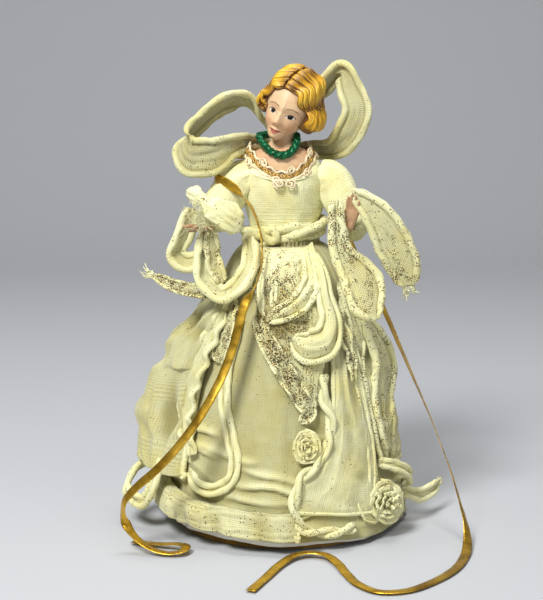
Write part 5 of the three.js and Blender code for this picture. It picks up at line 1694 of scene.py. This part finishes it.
class ANGEL_OT_bow(bpy.types.Operator):
    """Tie the bow on the back: its knot and the two wired loops that stand up as wings"""

    bl_idname = "angel.bow"
    bl_label = "Bow and wings"

    def execute(self, context):
        shape = new_shape(*GAUZE)
        for number in range(9):
            turn = math.tau * number / 9
            line = []
            for t in shares(31):
                swell = 5.0 + 2.6 * math.sin(math.pi * min(1, t * 1.15)) ** 0.7 if t < 0.9 else 5.0
                reach = (4.2 if t < 0.28 else swell - 1.2) * MM
                spin = turn + 1.2 * t
                away = Vector((math.sin(spin), -math.cos(spin), 0))
                line.append(KNOT + away * reach + UP * ((-18.5 + 28 * t) * MM))

            def radius(v, a, number=number):
                return (2.3 + 0.6 * round_noise(a, 1, v * 7 + 3 * number)) * MM

            masks = {"glitter": lambda u, v: 0.03, "shade": lambda u, v: 0.08}
            tube(shape, line, radius, 10, masks=masks, ends=0.1)
        knot = made(shape, "bow_knot_cloth", gauze(), nodes=("bow_knot",))
        cut_cloth(knot, 60 * MM, "folded", ["gauze_bodice"], sides=2)

        wired = {"rests_on": ("bow_knot_cloth",), "held": "hung", "dip": 0.05, "roll": 4.4, "sheer": 0.95,
            "pleats": 1.6}
        left = ((-6, 0, 4, -0.2, 0.9, -0.2), (-17, -6, 19, 0.1, 0.95, -0.1),
            (-29, -17, 29, 0.1, 0.85, -0.5), (-43, -25, 27, 0, 0.8, -0.6),
            (-58, -29, 15, -0.1, 0.75, -0.65), (-69, -32, 3, -0.5, 0.45, -0.75),
            (-66, -39, -7, -0.2, 0.15, -0.97), (-50, -45, -7, 0, 0.1, -1),
            (-36, -40, -1, 0.1, 0.2, -0.97), (-23, -20, 1, 0.1, 0.3, -0.95),
            (-6, -1, -3, 0.1, 0.3, -0.95))
        free_strip("wing_left_gauze", KNOT, left, (11, 18, 22, 23, 24, 27, 28, 27, 18, 12, 10),
            body="wing_left", nodes=("wing_loop_left",), shade=0.26, seed=21,
            glitter=(0.01, 0.02, 0.02, 0.02, 0.06, 0.15, 0.15, 0.1, 0.05, 0.02), **wired)
        right = (
            (5, 0, 4, -0.1, 0.5, -0.85), (15, -2, 23, -0.1, 0.6, -0.8), (28, -9, 39, -0.1, 0.6, -0.8),
            (40, -18, 50, -0.5, 0.6, -0.6), (46, -24, 37, -0.9, 0.2, 0.1), (50, -29, 22, -0.93, 0.15, 0.2),
            (44, -28, 7, -0.88, 0.1, 0.4), (36, -21, -3, -0.8, 0.1, 0.6), (24, -11, -5, -0.5, 0.1, 0.85),
            (5, 0, -4, -0.1, 0.2, 0.95),
        )
        free_strip("wing_right_gauze", KNOT, right, (10, 13, 16, 16, 19, 21, 21, 18, 14, 10),
            body="wing_right", nodes=("wing_loop_right",), shade=0.28, seed=33,
            glitter=(0.01, 0.02, 0.03, 0.02, 0.02, 0.02, 0.05, 0.1, 0.05), **wired)
        return {"FINISHED"}


def hand_bundle():
    """Crumple the gauze that is gathered into the left hand."""
    stops = ((-15, 3, 23), (-8, -5, 19), (3, -12, 12.5), (13, -14, 5.5), (19, -9, 0))
    line = sampled([LEFT_WRIST + Vector(stop) * MM for stop in stops], 90)
    far = run_length(line)

    def radius(v, turn):
        around = Vector((math.cos(turn), math.sin(turn), 0)) * 1.3
        puff = 0.3 * rumple(around.x, around.y, v * far / (13 * MM))
        crease = 0.6 * abs(rumple(around.x * 1.6, around.y * 1.6, v * far / (15 * MM) + 4)) - 0.16
        crinkle = 0.1 * rumple(around.x * 4, around.y * 4, v * far / (5 * MM))
        size = 5.8 + 3.6 * ease(v, 0.34, 0.55) - 1.6 * hump(v - 0.36, 0.05)
        return size * MM * (1 + puff + crease + crinkle)

    def brushed(u, v):
        return 0.5 * max(0, round_noise(math.tau * u, 2, v * 7) + 0.3 * hump(v - 0.36, 0.1))

    shape = new_shape(*GAUZE)
    tube(shape, line, radius, 56, flat=0.86, ends=0.14, masks={
        "glitter": brushed, "shade": lambda u, v: 0.03})
    piece = made(shape, "hand_bundle_left", gauze(), nodes=("hand_wrap_left",))
    shape = new_shape(*GAUZE)
    for number in range(120):
        # The threads lie across the fingers, in front of them.
        spot = Vector((-7 + 12 * rumple(number * 2.37, 0.5), -17 - 3 * rumple(number * 3.3, 2.5),
                       7 + 12 * rumple(number * 1.91, 5.5)))
        way = Vector((rumple(number * 3.17, 1.5), 0.3 * rumple(number * 1.3, 4.5),
            rumple(number * 2.71, 9.5)))
        loose_thread(shape, LEFT_WRIST + spot * MM, way.normalized(), (6 + number % 4) * MM, number)
    threads = made(shape, "hand_bundle_threads", gauze())
    cut_cloth(piece, far, "gathered", ["cast_hand_left"], sides=2, fringe=[threads])


class ANGEL_OT_hand_drapery(bpy.types.Operator):
    """Drape the gauze at the hands: a bundle and hanging loops on the left, two falls on the right"""

    bl_idname = "angel.hand_drapery"
    bl_label = "Drapery at the hands"

    def execute(self, context):
        hand_bundle()
        on_left = {"rests_on": ("hand_bundle_left",), "held": "hung", "dip": 0}
        on_right = {"rests_on": ("cast_hand_right",), "held": "hung", "dip": 0}
        free_strip("hand_cascade_cloth", LEFT_WRIST, ((-13, 3, 11, 0.7, 0.5, 0.3),
            (-19, 1, -8, 0.8, 0.5, 0.2), (-24, 1, -20, 0.7, 0.4, 0.5), (-18, 1, -26, 0.1, 0.4, 0.9),
            (-6, -1, -23, -0.1, 0.5, 0.9)), (14, 16, 16, 15, 12), nodes=("hand_cascade_left",),
            roll=4.6, sheer=0.55, glitter=(0.06, 0.03, 0.02, 0.03), pleats=1.3, seed=41, **on_left)
        free_strip("hand_loop_cloth", LEFT_WRIST, ((-3, -2, -3, 0.7, 0.7, 0.1),
            (-5, -8, -21, 0.75, 0.65, 0.1), (-4, -13, -35, 0.6, 0.7, 0.35),
            (8, -17, -45, 0.1, 0.75, 0.65), (21, -17, -36, -0.55, 0.75, 0.35),
            (27, -12, -22, -0.7, 0.7, 0.1), (26, -6, -8, -0.7, 0.7, 0.1)), (14, 15, 16, 16, 16, 15, 13),
            nodes=("hand_loop_left",), roll=4.8, sheer=0.5, glitter=(0.02, 0.02, 0.05, 0.1, 0.05, 0.03),
            pleats=1.2, seed=47, **on_left)
        free_strip("hand_inner_cloth", LEFT_WRIST, ((0, -6, -3, 0.9, 0.4, 0.1),
            (2, -9, -24, 0.9, 0.5, 0.1), (8, -12, -38, 0.9, 0.5, 0.1)), (10, 13, 10),
            nodes=("hand_loop_left_inner",), sheer=0.3, roll=3.4, glitter=(0.4, 0.8, 0.8), shade=0.1,
            waves=0.8, seed=53, **on_left)
        free_strip("hand_drop_cloth", RIGHT_WRIST, ((-10.5, -11, 19, 0.95, 0.1, 0.2),
            (-10, -11, 3, 0.98, 0.1, 0.1), (-6, -12, -17, 0.97, 0.15, 0), (7, -16, -36, 0.9, 0.3, 0),
            (11, -21, -51, 0.9, 0.35, 0), (16, -24, -61, 0.85, 0.4, -0.2)), (11, 12, 16, 32, 27, 13),
            nodes=("hand_drop_right",), roll=5.4, bulge=1, sheer=0.85,
            glitter=(0.5, 1.3, 1.2, 0.4, 0.5, 0.2), pleats=1.5, seed=59, **on_right)
        free_strip("hand_swag_cloth", RIGHT_WRIST, ((0, -8, 24.5, -0.4, 0.3, -0.85),
            (15, -10, 11, -0.8, 0.2, -0.5), (28, -7, -10, -0.9, 0.2, -0.4),
            (36, -3, -28, -0.92, 0.2, -0.3), (40, 1, -42, -0.95, 0.2, -0.2)), (9, 20, 27, 25, 14),
            nodes=("hand_swag_right",), roll=4.6, sheer=1.0, glitter=(0.08, 0.12, 0.25, 0.8, 1.2),
            shade=-0.08, pleats=1.2, fray=14, seed=61, **on_right)
        skirt_strip("frayed_tail_cloth", ((-46, 0.83, 2.4), (-53, 0.845, 16), (-60, 0.855, 29),
            (-68, 0.866, 38), (-75, 0.893, 51)), (10, 10, 10, 9, 6), nodes=("frayed_tail_left",),
            rests_on=("hand_cascade_cloth",), held="hung", roll=1.8, sheer=0.9, lace=0.6,
            glitter=(0.8, 2.4, 2.8, 2.6, 1.6), pleats=1.6, waves=0.9, fray=24, seed=67)
        return {"FINISHED"}


def gauze_apron():
    """Hang the apron on the sash: plain at the top, glittered in the middle, torn at its lower left."""
    # Degrees and share of the skirt, down each edge
    left = ((-33, 1.0), (-25, 0.91), (-22, 0.828), (-15.4, 0.746), (-7.8, 0.664), (3, 0.564),
        (11.4, 0.452))
    right = ((42, 1.0), (31, 0.926), (28.6, 0.826), (26.6, 0.726), (25.2, 0.658), (22.2, 0.574),
        (18.4, 0.474))
    edges = [spline([Vector((*stop, 0)) for stop in run]) for run in (left, right)]
    far, wide = 112 * MM, 46 * MM

    def place(u, v):
        ragged = 0.09 * rumple(v * 17, 2.5) * ease(0.3 - u, 0, 0.3) * ease(v, 0.25, 0.5)
        degrees, share, _ = edges[0](v).lerp(edges[1](v), u + ragged)
        fold = 1 - 2.6 * abs(rumple(u * 3.1 - v * 1.3, v * 2.7, 31))
        crumple = rumple(u * 6, v * 8, 37)
        fine = rumple(u * 17, v * 26, 41)
        lift = 4.4 + ease(v, 0, 0.12) * (2.2 * fold + 2.2 * crumple + 0.9 * fine)
        # It bags out over the hips, below the sash.
        lift += 4.5 * hump(v - 0.13, 0.08) * math.sin(math.pi * u)
        return on_skirt(degrees, share, max(2.2, lift))

    def torn(u, v):
        low = max(ease(0.34 - u, 0, 0.3) * ease(v, 0.3, 0.45), ease(v, 0.82, 0.95))
        return min(1, low * (0.7 + rumple(u * 9, v * 12, 5)))

    def brushed(u, v):
        thick = 5.2 * hump(v - 0.45, 0.18) * ease(0.9 - u, 0, 0.6) + 1.3 * torn(u, v)
        return thick * max(0, 0.5 + 1.4 * rumple(u * 9, v * 17, 9))

    shape = new_shape("lace", *GAUZE)
    bend(shape, 90, 130, place, lambda u, v: (u * wide, v * far), {
        "sheer": lambda u, v: 0.3 * ease(v, 0.2, 0.4), "lace": torn, "glitter": brushed,
        "shade": lambda u, v: 0.12 + 0.75 * hump(v - 0.45, 0.13) * ease(0.75 - u, 0, 0.4)})
    piece = made(shape, "apron_cloth", gauze(), nodes=("apron",))
    as_sheet(piece, far, "draped", ["gauze_skirt"])


class ANGEL_OT_skirt_drapery(bpy.types.Operator):
    """Drape the strips, folds and loops that lie on the skirt"""

    bl_idname = "angel.skirt_drapery"
    bl_label = "Drapery on the skirt"

    def execute(self, context):
        gauze_apron()
        skirt_strip("apron_lace", ((-18, 0.8, 5), (-15, 0.736, 6), (-7.6, 0.666, 7), (0.8, 0.586, 6.5),
            (9, 0.502, 5.5), (13, 0.45, 5), (8, 0.42, 4.4)), (8, 11, 13, 13, 12, 11, 6), roll=1.4,
            sheer=0.9, lace=1.0, glitter=(1.6, 2.2, 1.8, 1.0, 0.6, 0.4), pleats=2.2, waves=2.2, seed=72)
        skirt_strip("apron_swag", ((24, 0.985, 6), (21, 0.892, 8.5), (10, 0.824, 9), (-3, 0.788, 8.5),
            (-11, 0.762, 7)), (9, 14, 15, 12, 8), roll=3.4, bulge=2.5, sheer=0.1,
            glitter=(0.05, 0.2, 1.2, 2.2, 2.4), pleats=1.6, waves=0.8, seed=74)
        skirt_strip("apron_beading", ((33, 0.86, 6), (36.8, 0.784, 7), (40.6, 0.692, 7), (42.6, 0.608, 6),
            (42.2, 0.538, 5)), (6, 9, 10, 9, 6), roll=2.2, sheer=0.8, lace=0.7,
            glitter=(1.0, 1.8, 2.0, 1.8, 1.2), pleats=1.2, waves=1.2, seed=78)
        skirt_strip("apron_hairpin", ((-16, 0.79, 6), (-18.5, 0.87, 6.5), (-17, 0.93, 7), (-12, 0.94, 7),
            (-8.6, 0.9, 7), (-8, 0.8, 6.5)), (5,), roll=2.2, sheer=0, glitter=(0.1,),
            pleats=0.3, seed=75)
        skirt_strip("apron_twist_cloth", ((36, 1.0, 5), (30, 0.914, 8), (29, 0.83, 9), (29.5, 0.75, 9.5),
            (23, 0.69, 10.5), (13, 0.68, 10), (5, 0.705, 7)), (9, 13, 14, 18, 25, 24, 13),
            nodes=("apron_twist",), sheer=0.1, roll=4.0, bulge=4.5, pleats=1.6,
            glitter=(0.05, 0.05, 0.06, 0.1, 0.3), seed=73)
        skirt_strip("hip_net_left", ((-50, 0.87, 3), (-46, 0.78, 4.5), (-43.5, 0.68, 4.5), (-43, 0.6, 3)),
            (14, 22, 20, 12), roll=2.2, sheer=0.9, lace=0.7, glitter=(0.8, 1.6, 1.5, 0.8), pleats=1.8,
            waves=1.0, seed=76)
        skirt_strip("hip_net_right", ((52, 0.83, 3), (52, 0.71, 4.5), (50, 0.6, 3.5), (47, 0.52, 2.6)),
            (10, 18, 17, 10), roll=2.2, sheer=0.9, lace=0.6, glitter=(0.9, 1.5, 1.5, 0.9), pleats=1.6,
            waves=0.9, seed=77)
        skirt_panel("side_panel_cloth", (
            (-46, 0.84), (-50, 0.71), (-55, 0.58), (-58, 0.44), (-58, 0.31), (-54, 0.18)),
            ((-72, 0.88), (-101, 0.74), (-114, 0.59), (-118, 0.43), (-113, 0.29), (-98, 0.17)), 24, 5.6, 1.9,
            nodes=("side_panel_left",), sheer=0.1, dust=0.4, seed=79)
        skirt_strip("panel_ruffle", ((-47, 0.78, 5), (-54, 0.64, 8), (-59, 0.5, 9), (-58, 0.38, 8),
            (-50, 0.27, 5)), (10, 17, 19, 17, 10), roll=3.6, bulge=2, sheer=0.1, pleats=2.4, waves=2.0,
            seed=80)
        skirt_strip("front_loop_cloth", ((-33, 0.76, 2.4), (-37, 0.58, 2.6), (-35, 0.46, 2.8),
            (-29.5, 0.36, 2.8), (-25.5, 0.28, 3), (-27, 0.21, 3.4), (-35, 0.168, 4.2), (-44, 0.172, 4.2),
            (-53, 0.21, 3)), (8, 9, 9.5, 9.5, 9, 9, 9.5, 9.5, 8), nodes=("front_loop_left",), roll=4.8,
            glitter=(0.05, 0.02, 0.01, 0.02), seed=83)
        skirt_strip("hem_loop_left_cloth", ((-80, 0.34, 2.4), (-74, 0.27, 14), (-66, 0.16, 19),
            (-70, 0.07, 23), (-78, 0.1, 32), (-84, 0.17, 24), (-90, 0.2, 2.4)),
            (10, 12, 12, 11, 11, 11, 9), nodes=("hem_loop_left",), dip=0, roll=4.4,
            glitter=(0.1, 0.2, 0.1, 0.1), seed=89)
        skirt_panel("hem_gather_left", ((4, 0.1), (6, 0.078), (6, 0.052), (4, 0.03)),
            ((-104, 0.15), (-110, 0.12), (-108, 0.085), (-98, 0.045)), 7, 3.4, glitter=0.14, dust=0.24,
            hem=1.4, seed=84)
        skirt_strip("side_fall_cloth", (
            (72, 0.76, 2.4), (72, 0.67, 9), (72, 0.57, 11), (68, 0.46, 6), (67, 0.35, 5), (69, 0.25, 2.4)),
            (18, 29, 35, 29, 26, 18), nodes=("side_fall_right",), roll=5.4, bulge=2, swing=9,
            glitter=(0.4, 0.45, 0.55, 0.6, 0.6), pleats=2.2, seed=97)
        skirt_panel("side_puff_right", ((50, 0.87), (51, 0.7), (53, 0.56), (54, 0.44), (55, 0.33),
            (58, 0.22)), ((70, 0.9), (94, 0.74), (106, 0.58), (108, 0.44), (102, 0.31), (88, 0.2)), 3,
            2.4, 0.7, glitter=0.2, seed=98)
        skirt_panel("front_flap", ((33, 0.74), (30, 0.58), (27, 0.44), (20, 0.31), (9, 0.21), (5, 0.11)),
            ((48, 0.74), (48, 0.57), (50, 0.4), (50.5, 0.26), (50, 0.15), (47, 0.075)), 1.2, 1.0,
            dust=0.16, hem=1.2, seed=99)
        skirt_strip("front_fold_cloth", ((45, 0.66, 2.4), (47, 0.55, 2.4), (48, 0.42, 2.4),
            (48, 0.3, 2.4), (46, 0.19, 2.4), (42, 0.1, 2.4)), (8, 9, 10, 10, 9, 8),
            nodes=("front_fold_right",), roll=3.8, glitter=(0.2, 0.1, 0.03), seed=101)
        skirt_strip("back_fold_cloth", ((178, 0.9, 2.4), (182, 0.74, 2.4), (178.5, 0.55, 2.4),
            (182, 0.36, 2.4), (179, 0.18, 2.4), (181, 0.03, 2.4)), (8, 9, 11, 10, 12, 10),
            nodes=("back_fold",), waves=0.6, seed=103)
        skirt_strip("hem_loop_right_cloth", ((54, 0.235, 2.4), (62, 0.215, 9), (71, 0.17, 13),
            (77, 0.13, 9), (81, 0.115, 2.4)), (8, 9, 10, 10, 8), nodes=("hem_loop_right",), dip=0,
            roll=4.2, glitter=(0.3, 0.15, 0.1), seed=107)
        skirt_strip("trail_tail_cloth", ((78, 0.085, 2.4), (83, 0.055, 12), (88, 0.06, 21),
            (93, 0.07, 28)), (10, 11, 11, 9), nodes=("trail_tail_right",), dip=0, roll=3.6, sheer=0.7,
            glitter=(0.05,), pleats=1.5, fray=10, seed=109)
        return {"FINISHED"}


def rolled_rosette(name, node_name, degrees, share, radius, oval, seed):
    """Roll a rosette of four rings of petals, with a radius in millimetres. oval makes it taller."""
    outward = out_of_skirt(on_skirt(degrees, share))
    outward = (outward + Vector((0, -0.5, 0))).normalized()
    turned = outward.to_track_quat("Z", "Y").to_matrix().to_4x4()
    to_figure = Matrix.Translation(on_skirt(degrees, share, 2.5)) @ turned
    columns, rows = 16, 12
    shape = new_shape(*GAUZE)
    wide_of_all = 0.0
    for ring, petals in enumerate((2, 3, 4, 5)):
        reach = radius * (0.15 + 0.27 * ring)
        tall = radius * (1.05 - 0.17 * ring)
        for number in range(petals):
            middle = math.tau * (number + 0.37 * ring) / petals + seed

            def place(u, v, reach=reach, tall=tall, middle=middle, petals=petals, ring=ring):
                s = 2 * u - 1
                turn = middle + s * math.pi / petals * 1.3
                curl = ease(v, 0.7, 1)
                out = reach * (0.5 + 0.5 * v ** 0.7) + 0.16 * radius * curl + 0.05 * radius * s
                out += 0.16 * radius * rumple(turn * 1.3, v * 2, 3.7 * seed + ring)
                height = tall * v * (1 - 0.3 * s ** 4 + 0.3 * rumple(turn * 2, ring, 1.9 * seed))
                height -= 0.14 * radius * curl * curl
                spot = Vector((math.cos(turn) * out, math.sin(turn) * out * oval, height))
                return to_figure @ (spot * MM)

            def brushed(u, v, ring=ring):
                patch = max(0, 0.35 + rumple(u * 5, v * 3, seed + ring))
                return patch * (0.3 + 0.7 * ease(v, 0.75, 1)) * (1.1 - 0.3 * ring)

            wide = math.tau / petals * 1.3 * reach * MM
            wide_of_all += wide
            bend(shape, columns, rows, place, lambda u, v, w=wide, t=tall: (u * w, v * t * MM), {
                "glitter": brushed, "shade": lambda u, v: 0.35 * (1 - v) ** 2})
    piece = made(shape, name, gauze(), nodes=(node_name,))
    as_sheet(piece, wide_of_all, "folded", ["gauze_skirt"], layers=2)


class ANGEL_OT_garland(bpy.types.Operator):
    """Wind the vine down the skirt, with its two rolled rosettes and a leaf"""

    bl_idname = "angel.garland"
    bl_label = "Vine, rosettes and leaf"

    def execute(self, context):
        vine = ((24, 0.58), (22, 0.5), (25, 0.42), (22.5, 0.34), (15, 0.265), (8, 0.23), (5, 0.18),
            (4, 0.12), (7, 0.065), (14, 0.04), (24, 0.035), (33, 0.045))
        shape = new_shape(*GAUZE)
        far = twisted(shape, [on_skirt(*stop, 3.8) for stop in vine], 2, 2.2, 2.0, 38,
                      (0.03, 0.03, 0.05, 0.05, 0.3, 0.35, 0.3), seed=18, columns=12)
        twisted(shape, [on_skirt(degrees + 1.5, share, 3.2) for degrees, share in vine[:8]], 1, 1.5, 1.2, 50,
                (0.1, 0.3), seed=19)
        piece = made(shape, "twisted_vine", gauze(), nodes=("vine",))
        cut_cloth(piece, far, "folded", ["gauze_skirt"], sides=2)
        rolled_rosette("rosette_low_cloth", "rosette_low", 52, 0.1, 13.5, 1.0, 2)
        rolled_rosette("rosette_high_cloth", "rosette_high", 11, 0.335, 8.6, 1.2, 7)
        skirt_strip("leaf_cloth", ((36, 0.13, 2.4), (41, 0.08, 3.2), (46, 0.04, 2.4)), (5, 13, 5),
            nodes=("leaf_low",), roll=1.6, sheer=0.1, pleats=0.6, seed=22)
        return {"FINISHED"}


class ANGEL_PT_panel(bpy.types.Panel):
    """Lists the figure's pieces in the order in which they are made"""

    bl_label = "Angel tree topper"
    bl_idname = "ANGEL_PT_panel"
    bl_space_type = "VIEW_3D"
    bl_region_type = "UI"
    bl_category = "Angel"

    def draw(self, context):
        for operator in OPERATORS:
            self.layout.operator(operator.bl_idname)
        for group in (context.scene.angel_gown, context.scene.angel_casting, context.scene.angel_finishes):
            box = self.layout.box()
            for name in group.bl_rna.properties.keys():
                if name not in ("rna_type", "name"):
                    box.prop(group, name)


OPERATORS = (ANGEL_OT_stage, ANGEL_OT_ribbons, ANGEL_OT_core, ANGEL_OT_casting, ANGEL_OT_hair,
    ANGEL_OT_hands, ANGEL_OT_choker, ANGEL_OT_braid, ANGEL_OT_bodice, ANGEL_OT_skirt, ANGEL_OT_sash,
    ANGEL_OT_bow, ANGEL_OT_hand_drapery, ANGEL_OT_skirt_drapery, ANGEL_OT_garland)
CLASSES = (GownSizes, CastingSizes, Finishes, *OPERATORS, ANGEL_PT_panel)


def register():
    """Register the classes and the scene's settings."""
    for cls in CLASSES:
        bpy.utils.register_class(cls)
    bpy.types.Scene.angel_gown = bpy.props.PointerProperty(type=GownSizes)
    bpy.types.Scene.angel_casting = bpy.props.PointerProperty(type=CastingSizes)
    bpy.types.Scene.angel_finishes = bpy.props.PointerProperty(type=Finishes)


def unregister():
    """Take the settings and the classes away again."""
    del bpy.types.Scene.angel_finishes
    del bpy.types.Scene.angel_casting
    del bpy.types.Scene.angel_gown
    for cls in reversed(CLASSES):
        bpy.utils.unregister_class(cls)


def main():
    """Make every piece in order, then write the two boxes."""
    register()
    for operator in OPERATORS:
        group, name = operator.bl_idname.split(".")
        getattr(getattr(bpy.ops, group), name)()
    boxes = {
        "cad": [list(corner) for corner in CAD_BOX],
        "visual": [list(corner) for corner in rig.bounds()],
    }
    with open("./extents.json", "w") as file:
        json.dump(boxes, file)


if __name__ == "__main__":
    main()
